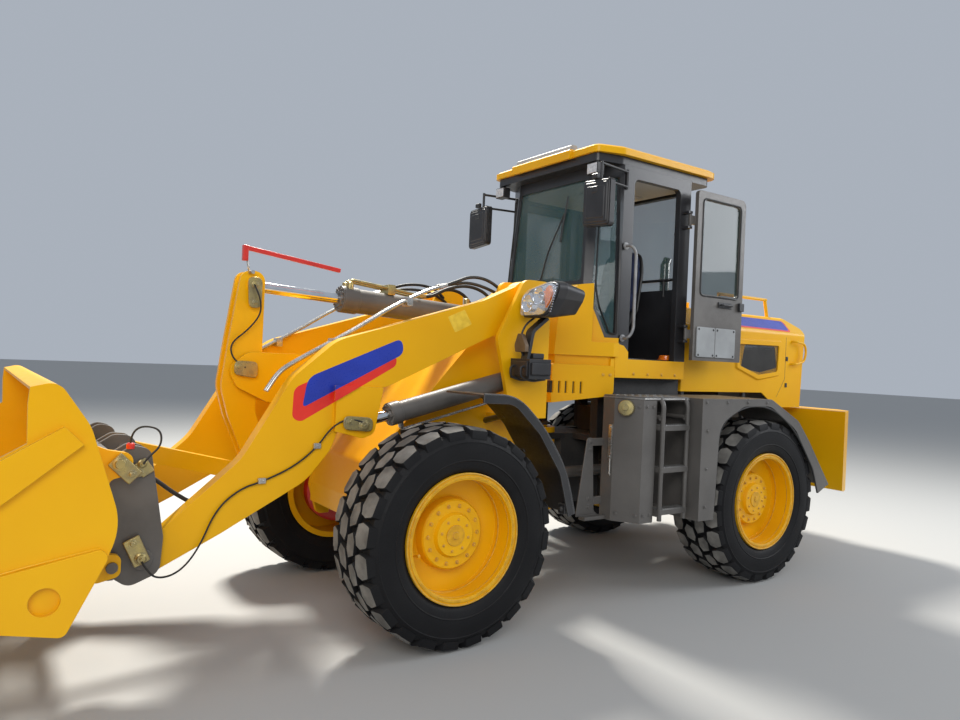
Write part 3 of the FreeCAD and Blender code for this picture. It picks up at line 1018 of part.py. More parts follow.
# Exhaust: a bent steel pipe behind the cab.
EXHAUST = (-1500.0, 240.0)
EXHAUST_TOP = 2300.0
pipe = join([bar(V(EXHAUST[0], EXHAUST[1], HOOD_TOP), V(EXHAUST[0], EXHAUST[1], EXHAUST_TOP), 38.0),
             bar(V(EXHAUST[0], EXHAUST[1], EXHAUST_TOP - 8.0),
                  V(EXHAUST[0] - 25.0, EXHAUST[1], EXHAUST_TOP + 40.0), 35.0)])
save("exhaust_pipe", [pipe])

# Handrails on the hood
RAIL_PLACE = 405.0
RAIL_HIGH = 2105.0
rail_parts = []
for start_x, end_x in ((-1900.0, -1960.0), (-2600.0, -2555.0)):
    rail_parts.append(bar(V(start_x, RAIL_PLACE, 1950.0), V(end_x, RAIL_PLACE, RAIL_HIGH + 5.0), 14.0))
rail_parts.append(bar(V(-1940.0, RAIL_PLACE, RAIL_HIGH), V(-2575.0, RAIL_PLACE, RAIL_HIGH), 12.0))
handrail = join(rail_parts).cut(hood)
handrail = max(handrail.Solids, key=lambda solid: solid.Volume)
save("hood_handrails", both_sides(handrail))

# Counterweight: a cast tail with the tow pin's bore through its slot.
tail_plan = [
    (RAIL_REAR, -900.0), (RAIL_REAR, 900.0), (RAIL_REAR - 235.0, 800.0, 60.0), (TAIL_X, 560.0, 80.0),
    (TAIL_X, -560.0, 80.0),
    (RAIL_REAR - 235.0, -800.0, 60.0)]
tail_side = [(RAIL_REAR, 560.0), (RAIL_REAR, 1205.0), (TAIL_X + 45.0, 1205.0, 40.0), (TAIL_X, 1150.0),
    (TAIL_X, 620.0, 60.0),
             (TAIL_X + 75.0, 540.0), (RAIL_REAR - 110.0, 540.0)]
tail = plan_plate(tail_plan, 500.0, 1300.0).common(side_plate(tail_side, -1000.0, 1000.0))
TOW_PLACE = (TAIL_X + 75.0, 0.0)
tail = tail.cut(block(TAIL_X - 10.0, TAIL_X + 130.0, -90.0, 90.0, 860.0, 1300.0))
tail = tail.cut(block(TAIL_X - 10.0, TAIL_X + 150.0, -90.0, 90.0, 660.0, 760.0))
tail = tail.cut(pin_z(TOW_PLACE, TOW_BORE_R, 500.0, 900.0))
save("counterweight", [tail])

# Mirrors: a plate on a tube loop at the pillar's top.
MIRROR_ROOT = (-675.0, CAB_Y + 8.0)
MIRROR_TIP = (-390.0, 655.0)
LOOP_TOP = CAB_TOP - 50.0
LOOP_LOW = CAB_TOP - 150.0
mirror_loop = [
    bar(V(MIRROR_ROOT[0], MIRROR_ROOT[1], LOOP_TOP), V(MIRROR_TIP[0], MIRROR_TIP[1], LOOP_TOP), 9.0),
    bar(V(MIRROR_ROOT[0], MIRROR_ROOT[1], LOOP_LOW), V(MIRROR_TIP[0], MIRROR_TIP[1], LOOP_LOW), 8.5),
    pin_z(MIRROR_ROOT, 10.0, LOOP_LOW - 15.0, LOOP_TOP + 15.0),
    pin_z(MIRROR_TIP, 9.5, LOOP_LOW - 60.0, LOOP_TOP + 12.0)]
mirror_head = cross_plate([(537.0, 2398.0, 25.0), (537.0, 2698.0, 25.0), (782.0, 2682.0, 25.0),
    (782.0, 2378.0, 25.0)],
                          MIRROR_TIP[0] - 2.0, MIRROR_TIP[0] + 38.0)
mirror = join(mirror_loop + [mirror_head])
mirror = mirror.cut(cab_frame)
mirror = max(mirror.Solids, key=lambda solid: solid.Volume)
save("mirrors", both_sides(mirror))
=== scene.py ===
import math
import bmesh
import bpy
import numpy as np
from mathutils import Matrix, Vector


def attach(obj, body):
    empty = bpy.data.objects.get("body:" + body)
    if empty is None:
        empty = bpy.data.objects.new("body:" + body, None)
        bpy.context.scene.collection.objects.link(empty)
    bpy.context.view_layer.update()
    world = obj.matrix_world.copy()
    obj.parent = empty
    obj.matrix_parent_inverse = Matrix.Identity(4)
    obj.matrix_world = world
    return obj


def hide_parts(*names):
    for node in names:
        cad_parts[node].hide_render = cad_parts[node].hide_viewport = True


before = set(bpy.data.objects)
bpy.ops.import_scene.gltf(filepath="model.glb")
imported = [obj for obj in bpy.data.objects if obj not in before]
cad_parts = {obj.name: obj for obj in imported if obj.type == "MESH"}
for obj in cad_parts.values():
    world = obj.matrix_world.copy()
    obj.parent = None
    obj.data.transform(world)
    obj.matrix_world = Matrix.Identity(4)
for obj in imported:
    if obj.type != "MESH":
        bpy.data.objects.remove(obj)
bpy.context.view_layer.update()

# The stand: a plain pale floor under soft lamps. The camera stands at head height on the
# loader's front left, level, a little turned about its own line of sight.
EYE = Vector((2.924, 4.121, 1.509))
YAW = 0.6107
PITCH_DOWN = 0.0014
ROLL = 0.0432
FOCAL_PIXELS = 739.0
IMAGE_WIDTH = 960.0
SENSOR_WIDTH = 36.0
ahead = Vector((-math.sin(YAW) * math.cos(PITCH_DOWN), -math.cos(YAW) * math.cos(PITCH_DOWN), -math.sin(PITCH_DOWN)))
level_right = Vector((-math.cos(YAW), math.sin(YAW), 0.0))
level_up = level_right.cross(ahead)
eye_right = math.cos(ROLL) * level_right + math.sin(ROLL) * level_up
eye_up = -math.sin(ROLL) * level_right + math.cos(ROLL) * level_up
turn = Matrix((eye_right, eye_up, -ahead)).transposed().to_4x4()
lens = bpy.data.cameras.new("camera")
lens.sensor_width = SENSOR_WIDTH
lens.lens = FOCAL_PIXELS / IMAGE_WIDTH * SENSOR_WIDTH
lens.clip_end = 200.0
camera = bpy.data.objects.new("camera", lens)
camera.matrix_world = Matrix.Translation(EYE) @ turn
bpy.context.scene.collection.objects.link(camera)
bpy.context.scene.camera = camera
bpy.context.scene.view_settings.view_transform = "Standard"

floor_mesh = bpy.data.meshes.new("floor")
FAR = 60
floor_mesh.from_pydata([(-FAR, -FAR, 0), (FAR, -FAR, 0), (FAR, FAR, 0), (-FAR, FAR, 0)], [], [(0, 1, 2, 3)])
floor = bpy.data.objects.new("floor", floor_mesh)
bpy.context.scene.collection.objects.link(floor)
floor_stuff = bpy.data.materials.new("floor_pale")
floor_stuff.use_nodes = True
floor_shader = floor_stuff.node_tree.nodes["Principled BSDF"].inputs
floor_shader["Base Color"].default_value = (0.42, 0.42, 0.41, 1)
floor_shader["Roughness"].default_value = 0.8
floor_mesh.materials.append(floor_stuff)

sky = bpy.data.worlds.new("studio")
sky.use_nodes = True
sky_shader = sky.node_tree.nodes["Background"].inputs
sky_shader["Color"].default_value = (0.80, 0.88, 1.0, 1)
sky_shader["Strength"].default_value = 0.50
bpy.context.scene.world = sky
LAMPS = [
    # name, place, aimed at, width, watts, colour
    ("key", (-1.0, -5.0, 9.0), (0.5, 0.0, 1.0), 1.6, 2100.0, (1.0, 0.96, 0.88)),
    ("front", (5.5, 7.5, 5.5), (0.0, 0.0, 1.2), 5.0, 380.0, (1.0, 0.98, 0.95)),
    ("tail", (-7.5, 4.5, 5.0), (-1.5, 0.0, 1.2), 4.0, 300.0, (0.95, 0.97, 1.0))]
for lamp_name, place, aim, width, watts, tint in LAMPS:
    lamp = bpy.data.lights.new(lamp_name, "AREA")
    lamp.shape = "SQUARE"
    lamp.size = width
    lamp.energy = watts
    lamp.color = tint
    lamp_object = bpy.data.objects.new(lamp_name, lamp)
    lamp_object.location = place
    lamp_object.rotation_euler = (Vector(aim) - Vector(place)).to_track_quat("-Z", "Y").to_euler()
    bpy.context.scene.collection.objects.link(lamp_object)


# Front frame: welded plate with two deep inner plates, two towers and a sloping nose cover,
# sprayed orange-yellow over primer. Weld beads and rolled plate leave a slight orange peel.
def feed(socket, value):
    """Gives an input a value: an output is linked to it, anything else is kept on the socket itself."""
    if isinstance(value, bpy.types.NodeSocket):
        socket.id_data.links.new(value, socket)
    else:
        socket.default_value = value


def add(stuff, kind, inputs, **settings):
    """Adds a node of a kind to the material, with its own settings and a value for each named input."""
    node = stuff.node_tree.nodes.new("ShaderNode" + kind)
    for setting, value in settings.items():
        setattr(node, setting, value)
    for key, value in inputs.items():
        feed(node.inputs[key], value)
    return node


def ramp(stuff, share, low, high, dark, light):
    """Colour that fades from dark to light as the share goes from low to high."""
    fade = add(stuff, "ValToRGB", {"Fac": share})
    for end, at, colour in zip(fade.color_ramp.elements, (low, high), (dark, light)):
        end.position = at
        end.color = (*colour, 1)
    return fade.outputs["Color"]


def finish(name, light, dark, rough=(0.3, 0.5), patch=2.0, grain=90.0, bump=0.0004, metal=0.0, coat=0.0,
           edge=None, dust=0.0, round_off=0.004, specular=0.5):
    """Material on Object coordinates: a broad noise fades the colour between dark and light, a fine one spreads
    the roughness between its limits and lifts the bump; edge puts a colour onto the rims of the form, where
    its rounded normal leaves the flat one: rubbed wear, and on the yellow and red paints a painted highlight;
    dust settles where the surface looks up."""
    stuff = bpy.data.materials.new(name)
    stuff.use_nodes = True
    shader = stuff.node_tree.nodes["Principled BSDF"].inputs
    place = add(stuff, "TexCoord", {}).outputs
    broad = add(stuff, "TexNoise", {"Vector": place["Object"], "Scale": patch, "Detail": 6.0}).outputs["Fac"]
    fine = add(stuff, "TexNoise", {"Vector": place["Object"], "Scale": grain, "Detail": 4.0}).outputs["Fac"]
    colour = ramp(stuff, broad, 0.36, 0.64, dark, light)
    spread = add(stuff, "MapRange", {"Value": fine, "From Min": 0.3, "From Max": 0.7, "To Min": rough[0],
                                     "To Max": rough[1]})
    relief = add(stuff, "Bump", {"Height": fine, "Distance": bump, "Strength": 0.6})
    if edge is not None:
        soft = add(stuff, "Bevel", {"Radius": round_off}, samples=3).outputs["Normal"]
        flat = add(stuff, "NewGeometry", {}).outputs["Normal"]
        meet = add(stuff, "VectorMath", {0: soft, 1: flat}, operation="DOT_PRODUCT")
        rim = add(stuff, "MapRange", {"Value": meet.outputs["Value"], "From Min": 0.985, "From Max": 0.86,
                                      "To Max": 0.75})
        # Rim colour: rubbed wear on most finishes, a painted highlight on the yellow and red paints.
        rim_wear_and_highlight = add(stuff, "Mix", {"Factor": rim.outputs["Result"], "A": colour, "B": (*edge, 1)}, data_type="RGBA")
        feed(relief.inputs["Normal"], soft)
        colour = rim_wear_and_highlight.outputs["Result"]
    if dust > 0.0:
        up = add(stuff, "SeparateXYZ", {"Vector": place["Normal"]})
        lies = add(stuff, "MapRange", {"Value": up.outputs["Z"], "From Min": 0.1, "To Max": dust})
        patchy = add(stuff, "Math", {0: lies.outputs["Result"], 1: broad}, operation="MULTIPLY")
        cover = add(stuff, "Mix", {"Factor": patchy.outputs["Value"], "A": colour, "B": (0.30, 0.27, 0.22, 1)},
                    data_type="RGBA")
        colour = cover.outputs["Result"]
    for socket, value in (("Metallic", metal), ("Coat Weight", coat), ("Coat Roughness", 0.12),
                          ("Specular IOR Level", specular), ("Roughness", spread.outputs["Result"]),
                          ("Normal", relief.outputs["Normal"]), ("Base Color", colour)):
        feed(shader[socket], value)
    return stuff


def dress(stuff, *node_names):
    """Gives CAD nodes a material in every slot of their objects."""
    for node_name in node_names:
        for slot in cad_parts[node_name].material_slots:
            slot.material = stuff


# The yellow's edge colour is a lighter yellow: a painted highlight along the rims.
yellow = finish("yellow_paint", (0.86, 0.455, 0.002), (0.80, 0.395, 0.002), rough=(0.30, 0.44), patch=1.3, grain=45.0,
                bump=0.0005, coat=0.10, edge=(1.0, 0.62, 0.03), dust=0.05, specular=0.22)
dress(yellow, "front_frame")


FORWARD, ACROSS, UP = (1, 0, 0), (0, 1, 0), (0, 0, 1)


def lathe(profile, centre, axis, count=32):
    """Surface of revolution: the profile's (along, radius) pairs are turned about the axis through the centre in
    count equal steps; a radius of nothing closes the form at a pole."""
    along, radius = np.array(profile, float).T
    axis = np.array(axis, float) / np.linalg.norm(axis)
    side = np.cross(axis, (0.31, 0.52, 0.79))
    side /= np.linalg.norm(side)
    over = np.cross(axis, side)
    turns = np.arange(count) * 2.0 * math.pi / count
    way = np.cos(turns)[:, None] * side + np.sin(turns)[:, None] * over
    points = np.array(centre, float) + along[:, None, None] * axis + radius[:, None, None] * way
    return points.reshape(-1, 3), [net(len(profile), count)]


def net(rows, count, close_rows=False):
    """Four-cornered faces of a grid of rows with count corners each, closed round each row."""
    row = np.arange(rows if close_rows else rows - 1)[:, None] * count
    far = (row + count) % (rows * count)
    here = np.arange(count)[None, :]
    beside = (here + 1) % count
    return np.stack([row + here, row + beside, far + beside, far + here], -1).reshape(-1, 4)


def rounded(corners, steps=5):
    """Closed outline: each (u, v, radius) corner is replaced by points of the parabola between its two sides."""
    table = np.array([(c[0], c[1], c[2] if len(c) > 2 else 0.0) for c in corners])
    spot = table[:, :2]
    back = np.roll(spot, 1, 0) - spot
    on = np.roll(spot, -1, 0) - spot
    back_long = np.linalg.norm(back, axis=1)
    on_long = np.linalg.norm(on, axis=1)
    run = np.minimum(np.minimum(table[:, 2], back_long * 0.49), on_long * 0.49)
    start = spot + back * (run / back_long)[:, None]
    end = spot + on * (run / on_long)[:, None]
    t = np.linspace(0.0, 1.0, steps)[None, :, None]
    curve = start[:, None] * (1 - t) ** 2 + spot[:, None] * 2 * t * (1 - t) + end[:, None] * t ** 2
    flat = curve.reshape(-1, 2)
    gap = np.linalg.norm(flat - np.roll(flat, 1, 0), axis=1)
    return flat[gap > 1e-6]


def slab(corners, low, high, place, edge=0.003, steps=5):
    """Plate: a rounded outline stands at four levels, drawn in by the edge at the two outer ones, so that the
    plate's rims are chamfered; place turns (u, v, level) into a point."""
    flat = rounded(corners, steps)
    ahead_way = np.roll(flat, -1, 0) - np.roll(flat, 1, 0)
    inward = np.stack([-ahead_way[:, 1], ahead_way[:, 0]], -1)
    inward /= np.linalg.norm(inward, axis=1)[:, None]
    area = np.sum(flat[:, 0] * np.roll(flat[:, 1], -1) - np.roll(flat[:, 0], -1) * flat[:, 1])
    inner = flat + inward * edge * np.sign(area)
    step = min(edge, abs(high - low) / 2.0) * (1.0 if high > low else -1.0)
    rings = [(inner, low), (flat, low + step), (flat, high - step), (inner, high)]
    points = np.concatenate([np.stack(place(r[:, 0], r[:, 1], np.full(len(r), z)), -1) for r, z in rings])
    count = len(flat)
    caps = [np.arange(count)[None, :], np.arange(3 * count, 4 * count)[None, :]]
    return points, [net(4, count)] + caps


def side_on(x, z, y):
    """Place of a plate drawn in side view."""
    return x, y, z


def front_on(y, z, x):
    """Place of a plate drawn in front view."""
    return x, y, z


def plan_on(x, y, z):
    """Place of a plate drawn in plan."""
    return x, y, z


def oblong(u_low, u_high, v_low, v_high, corner):
    """Outline with four corners of one radius."""
    return [(u_low, v_low, corner), (u_high, v_low, corner), (u_high, v_high, corner), (u_low, v_high, corner)]


def brick(x_low, x_high, y_low, y_high, z_low, z_high, edge=0.003, corner=0.0):
    """Plate with four sides between two corners of space, its upright rims rounded by the corner."""
    return slab(oblong(x_low, x_high, y_low, y_high, corner), z_low, z_high, plan_on, edge)


def both_sides(parts):
    """The surfaces, and then the same on the machine's other side, where y changes its sign."""
    return parts + [(part[0] * (1, -1, 1), *part[1:]) for part in parts]


def piece(name, parts, stuffs, body, sharp=35.0):
    """One object: the parts' corners stand in a row, their faces count on, doubles are merged and all faces
    turned outward; a part's third entry is the number of its material."""
    starts = np.cumsum([0] + [len(part[0]) for part in parts])
    faces = []
    numbers = []
    for part, start in zip(parts, starts):
        for face_set in part[1]:
            faces.extend((np.asarray(face_set) + start).tolist())
            numbers.extend([part[2] if len(part) > 2 else 0] * len(face_set))
    mesh = bpy.data.meshes.new(name)
    mesh.from_pydata(np.concatenate([part[0] for part in parts]).tolist(), [], faces)
    mesh.polygons.foreach_set("material_index", np.array(numbers, np.int32))
    shape = bmesh.new()
    shape.from_mesh(mesh)
    bmesh.ops.remove_doubles(shape, verts=shape.verts, dist=1e-6)
    bmesh.ops.dissolve_degenerate(shape, edges=shape.edges, dist=1e-7)
    bmesh.ops.recalc_face_normals(shape, faces=shape.faces)
    shape.to_mesh(mesh)
    shape.free()
    mesh.shade_smooth()
    mesh.set_sharp_from_angle(angle=math.radians(sharp))
    for stuff in stuffs if isinstance(stuffs, (list, tuple)) else [stuffs]:
        mesh.materials.append(stuff)
    thing = bpy.data.objects.new(name, mesh)
    bpy.context.scene.collection.objects.link(thing)
    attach(thing, body)
    return thing


def bolt_heads(spots, axis, size, height):
    """Hexagon heads on washers: one lathe of six sides and one of twenty are set at each spot."""
    washer = lathe([(0, 0), (0, size * 1.5), (height * 0.25, size * 1.5), (height * 0.25, 0)], (0, 0, 0), axis, 20)
    head = lathe([(height * 0.2, 0), (height * 0.2, size * 0.98), (height * 0.9, size), (height, size * 0.85),
                  (height, 0)], (0, 0, 0), axis, 6)
    return [(part[0] + np.array(spot), part[1]) for spot in spots for part in (washer, head)]


zinc = finish("gold_zinc", (0.52, 0.42, 0.17), (0.36, 0.30, 0.16), rough=(0.25, 0.45), patch=25.0, grain=160.0,
              bump=0.0002, metal=0.85, edge=(0.60, 0.56, 0.42), round_off=0.002)
keeper_parts = []
for spot_x, spot_z, size in ((0.085, 1.875, 0.062), (0.055, 1.418, 0.045)):
    plate_line = oblong(spot_x - size, spot_x + size * 1.5, spot_z - size * 0.6, spot_z + size * 0.6, 0.012)
    keeper_parts.append(slab(plate_line, 0.6301, 0.640, side_on))
    keeper_parts.extend(bolt_heads([(spot_x + size * 1.1, 0.640, spot_z)], ACROSS, 0.011, 0.012))
    keeper_parts.append(lathe([(0, 0), (0, 0.018), (0.008, 0.016), (0.008, 0.006), (0.02, 0.005), (0.02, 0)],
                              (spot_x, 0.640, spot_z), ACROSS, 20))
piece("tower_pin_keepers", both_sides(keeper_parts), zinc, "front_frame")

# Axles: cast housings painted dark, with a swollen middle and reducers at their ends. The
# front brake drums behind the wheels are red.
cast = finish("cast_grey", (0.085, 0.078, 0.070), (0.050, 0.046, 0.042), rough=(0.5, 0.75), patch=6.0, grain=120.0,
              bump=0.0012, edge=(0.13, 0.12, 0.11), dust=0.5)
dress(cast, "front_axle", "rear_axle")
# The red's edge colour is a lighter red: a painted highlight along the rims.
red = finish("red_enamel", (0.62, 0.025, 0.015), (0.50, 0.018, 0.012), rough=(0.3, 0.45), patch=9.0, grain=80.0,
             bump=0.0003, coat=0.3, edge=(0.75, 0.10, 0.06))
FRONT_X, REAR_X, AXLE_Z = 0.775, -1.825, 0.578
drum = lathe([(0.575, 0.152), (0.575, 0.205), (0.59, 0.222), (0.655, 0.222), (0.668, 0.205), (0.668, 0.152),
              (0.575, 0.152)], (FRONT_X, 0, AXLE_Z), ACROSS, 56)
piece("front_brake_drums", both_sides([drum]), red, "front_frame")

# Tyres: radial rubber tyres with a smooth sidewall that carries two thin ridges, and a tread
# of four columns of long six-sided blocks, moulded in one with the carcass. The blocks' tops are
# painted pale grey: dust, and painted sunlight on them.
rubber = finish("tyre_rubber", (0.009, 0.009, 0.010), (0.005, 0.005, 0.006), rough=(0.50, 0.70), patch=4.0,
                grain=150.0, bump=0.0006, dust=0.05, specular=0.22)
# Pale grey of the blocks' tops: dust, and painted sunlight.
tread_top_dust_and_sunlight = finish("tyre_tread_dust_and_sunlight", (0.25, 0.24, 0.22), (0.115, 0.11, 0.10), rough=(0.75, 0.95), patch=9.0,
               grain=110.0, bump=0.0012)
BLOCKS_ROUND = 24
TREAD_R = 0.578
FLAT_HALF = 0.10
SHOULDER_Y = 0.178
SIDE_Y = 0.1975
RINGS_ROUND = 144
HALF_CARCASS = [
    (0.000, 0.5535), (0.110, 0.5525), (0.160, 0.5480), (0.180, 0.5390), (0.1905, 0.522), (0.1960, 0.506),
    (0.1985, 0.503), (0.1988, 0.500), (0.1972, 0.497), (0.1995, 0.462), (0.1990, 0.428), (0.1968, 0.412),
    (0.1985, 0.409), (0.1980, 0.406), (0.1940, 0.402), (0.1880, 0.375), (0.178, 0.354), (0.168, 0.3455),
    (0.150, 0.3185)]
BLOCK_OUTLINES = [
    # block's corners (along, across) in mm, share of a pitch by which the row is turned
    ([(-68, 20), (-24, 4), (46, 12), (68, 62), (26, 90), (-44, 80)], 0.0),
    ([(-56, 108), (-14, 92), (50, 103), (66, 146), (54, 180), (48, 191), (-50, 191), (-58, 180), (-68, 150)], 0.45)]


def tread_row(corners, shift, side):
    """Row of blocks: the outline stands at three heights, widest at its foot, its place along the tread bent to
    an angle, and is turned by one pitch after another; the tops fall away towards the shoulder."""
    flat = np.array(corners, float) / 1000.0
    middle = flat.mean(0)
    pitch = 2.0 * math.pi / BLOCKS_ROUND
    across = np.abs(flat[:, 1])
    tip = TREAD_R - 0.55 * np.maximum(across - FLAT_HALF, 0.0) ** 2 - np.where(across > SHOULDER_Y, 0.010, 0.0)
    foot = np.where(across > SHOULDER_Y, 0.520, 0.545)
    levels = [(1.07, foot), (1.0, tip - 0.004), (0.95, tip)]
    grown = np.stack([middle + (flat - middle) * scale for scale, _ in levels])
    radius = np.stack([level for _, level in levels])
    angle = grown[:, :, 0] / TREAD_R + shift * pitch
    angles = angle[None] + np.arange(BLOCKS_ROUND)[:, None, None] * pitch
    y = np.broadcast_to(np.minimum(grown[:, :, 1], SIDE_Y), angles.shape)
    points = np.stack([radius * np.sin(angles), y * side, -radius * np.cos(angles)], -1)
    count = len(flat)
    starts = np.arange(BLOCKS_ROUND)[:, None, None] * (3 * count)
    walls = (net(3, count)[None] + starts).reshape(-1, 4)
    tops = (np.arange(2 * count, 3 * count)[None, None] + starts).reshape(-1, count)
    feet = (np.arange(count)[None, None] + starts).reshape(-1, count)
    return points.reshape(-1, 3), [walls, feet], [tops]


full_carcass = HALF_CARCASS + [(-y, r) for y, r in HALF_CARCASS[::-1]]
carcass_points = lathe(full_carcass, (0, 0, 0), ACROSS, RINGS_ROUND)[0]
tyre_parts = [(carcass_points, [net(len(full_carcass), RINGS_ROUND, close_rows=True)], 0)]
for corners, shift in BLOCK_OUTLINES:
    for side, extra in ((1, 0.0), (-1, 0.5)):
        # The block tops take the second material: painted sunlight and dust.
        row_points, dark_faces, dusty_sunlit_top_faces = tread_row(corners, shift + extra, side)
        tyre_parts.append((row_points, dark_faces, 0))
        tyre_parts.append((row_points, dusty_sunlit_top_faces, 1))
HALF_TRACK = 0.800
WHEELS = {"front_left": (FRONT_X, 1), "front_right": (FRONT_X, -1), "rear_left": (REAR_X, 1), "rear_right": (REAR_X, -1)}


def on_wheel(parts, place_name):
    """The parts moved from the middle of all to the wheel's middle; on the right y changes its sign."""
    axle_x, side = WHEELS[place_name]
    return [(part[0] * (1, side, 1) + (axle_x, HALF_TRACK * side, AXLE_Z), *part[1:]) for part in parts]


for place_name in WHEELS:
    tyre = piece("tread_" + place_name, on_wheel(tyre_parts, place_name), [rubber, tread_top_dust_and_sunlight], "wheel_" + place_name,
                 30.0)
    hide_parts("tyre_" + place_name)

# Wheel rims: pressed steel with a stepped flange, painted as the frame is. The hub's cap is
# held by fourteen screws and its inner plate by eight; a valve stem leans out of the well.
for place_name in WHEELS:
    dress(yellow, "rim_" + place_name)
screw = finish("painted_screws", (0.76, 0.40, 0.004), (0.58, 0.29, 0.004), rough=(0.35, 0.5), patch=30.0, grain=90.0,
               bump=0.0003, edge=(0.50, 0.45, 0.33), round_off=0.002)


def spots_round(radius, count, level, start=0.0):
    """Points evenly round the wheel's axle at a radius and a level along it."""
    angle = start + np.arange(count) * 2.0 * math.pi / count
    return np.stack([radius * np.cos(angle), np.full(count, level), radius * np.sin(angle)], -1)


fitting_parts = bolt_heads(spots_round(0.153, 14, 0.0695), ACROSS, 0.0075, 0.012)
fitting_parts += bolt_heads(spots_round(0.084, 8, 0.0945, 0.2), ACROSS, 0.0055, 0.008)
for bead in ([(0.179, 0.3435), (0.186, 0.3425), (0.188, 0.338), (0.186, 0.334), (0.179, 0.333)],
             [(0.179, 0.326), (0.184, 0.325), (0.185, 0.317), (0.182, 0.311), (0.179, 0.310)]):
    fitting_parts.append(lathe(bead + bead[:1], (0, 0, 0), ACROSS, 72))
hub_cap = [(0.094, 0.0), (0.094, 0.056), (0.101, 0.054), (0.101, 0.020), (0.106, 0.018), (0.106, 0.0)]
fitting_parts.append(lathe(hub_cap, (0, 0, 0), ACROSS, 40))
for flange_at, flange_r, thick in ((0.166, 0.318, 0.006), (0.150, 0.309, 0.004), (0.060, 0.3065, 0.005)):
    fitting_parts.append(lathe([(flange_at - thick, flange_r + 0.001), (flange_at - thick * 0.6, flange_r - thick),
                                (flange_at + thick * 0.6, flange_r - thick), (flange_at + thick, flange_r + 0.001),
                                (flange_at - thick, flange_r + 0.001)], (0, 0, 0), ACROSS, 72))
fitting_parts.append(lathe([(0, 0), (0, 0.010), (0.018, 0.010), (0.02, 0.006), (0.075, 0.005), (0.078, 0.008),
                            (0.095, 0.008), (0.097, 0)], (0.235, 0.012, -0.10), (-0.15, 0.95, 0.2), 16))
for place_name in WHEELS:
    piece("rim_screws_" + place_name, on_wheel(fitting_parts, place_name), screw, "wheel_" + place_name)

# Boom: two bent arms of thick plate with a cross tube, ears for the lift rods and brackets for
# the crank. A blue panel with a red lower edge and a blank yellow label lie on the arms.
dress(yellow, "boom")
ARM_FACE = 0.540
blue = finish("panel_blue", (0.012, 0.040, 0.42), (0.010, 0.030, 0.34), rough=(0.25, 0.4), patch=5.0, grain=200.0,
              bump=0.0001, coat=0.3)
panel_red = finish("panel_red", (0.80, 0.028, 0.012), (0.68, 0.020, 0.010), rough=(0.28, 0.42), patch=5.0,
                   grain=200.0, bump=0.0001, coat=0.3)
label = finish("label_yellow", (0.93, 0.62, 0.05), (0.80, 0.50, 0.03), rough=(0.3, 0.45), patch=30.0, grain=200.0,
               bump=0.0001)
blue_outline = [(1.505, 1.222, 0.03), (1.480, 1.378, 0.05), (0.948, 1.604, 0.06), (0.930, 1.520, 0.06)]
red_outline = [(1.512, 1.150, 0.04), (1.556, 1.172, 0.04), (1.552, 1.322, 0.04), (1.490, 1.352, 0.03),
               (0.975, 1.500, 0.02), (0.975, 1.452, 0.03)]
stick_outline = [(0.655, 1.742, 0.008), (0.542, 1.792, 0.008), (0.486, 1.710, 0.008), (0.600, 1.655, 0.008)]
for panel_name, corners, level, stuff in (("arm_panel_red", red_outline, 0.0007, panel_red),
                                          ("arm_panel_blue", blue_outline, 0.0012, blue),
                                          ("arm_labels", stick_outline, 0.0007, label)):
    sheet = slab(corners, ARM_FACE - 0.0005, ARM_FACE + level, side_on, edge=0.0003, steps=9)
    piece(panel_name, both_sides([sheet]), stuff, "boom")
EAR_FACE = 0.577
for panel_name, foot_z, tip_x, level, stuff in (("ear_panel_blue", 1.316, 1.297, 0.0012, blue),
                                                ("ear_panel_red", 1.256, 1.194, 0.0008, panel_red)):
    corner_line = [(1.345, foot_z), (1.345, 1.341), (tip_x, 1.341)]
    sheet = slab(corner_line, EAR_FACE - 0.0005, EAR_FACE + level, side_on, 0.0003)
    piece(panel_name, both_sides([sheet]), stuff, "boom")


def bend(corners, radius, steps=7):
    """Path through corner points whose inner corners are replaced by points of a parabola that starts and ends
    at the radius from the corner, or at under half its shorter run."""
    spot = np.array(corners, float)
    if len(spot) < 3:
        return spot
    inner = spot[1:-1]
    back = spot[:-2] - inner
    on = spot[2:] - inner
    back_long = np.linalg.norm(back, axis=1)[:, None]
    on_long = np.linalg.norm(on, axis=1)[:, None]
    run = np.minimum(radius, 0.48 * np.minimum(back_long, on_long))
    start = inner + back / back_long * run
    end = inner + on / on_long * run
    t = np.linspace(0, 1, steps)[None, :, None]
    curve = start[:, None] * (1 - t) ** 2 + inner[:, None] * 2 * t * (1 - t) + end[:, None] * t ** 2
    return np.concatenate([spot[:1], curve.reshape(-1, 3), spot[-1:]])


def tube(path, radius, sides=12):
    """Round tube: at each point of a path a ring stands square to the way there; the ends are flat caps."""
    spot = np.array(path, float)
    way = np.gradient(spot, axis=0)
    way /= np.linalg.norm(way, axis=1)[:, None]
    out = np.cross(way, (0.17, 0.61, 0.77))
    out /= np.linalg.norm(out, axis=1)[:, None]
    over = np.cross(way, out)
    turns = np.arange(sides) * 2.0 * math.pi / sides
    radius = np.broadcast_to(np.array(radius, float), (len(spot),))[:, None, None]
    ring = np.cos(turns)[None, :, None] * out[:, None] + np.sin(turns)[None, :, None] * over[:, None]
    points = spot[:, None] + radius * ring
    caps = [np.arange(sides)[None, :], np.arange((len(spot) - 1) * sides, len(spot) * sides)[None, :]]
    return points.reshape(-1, 3), [net(len(spot), sides)] + caps


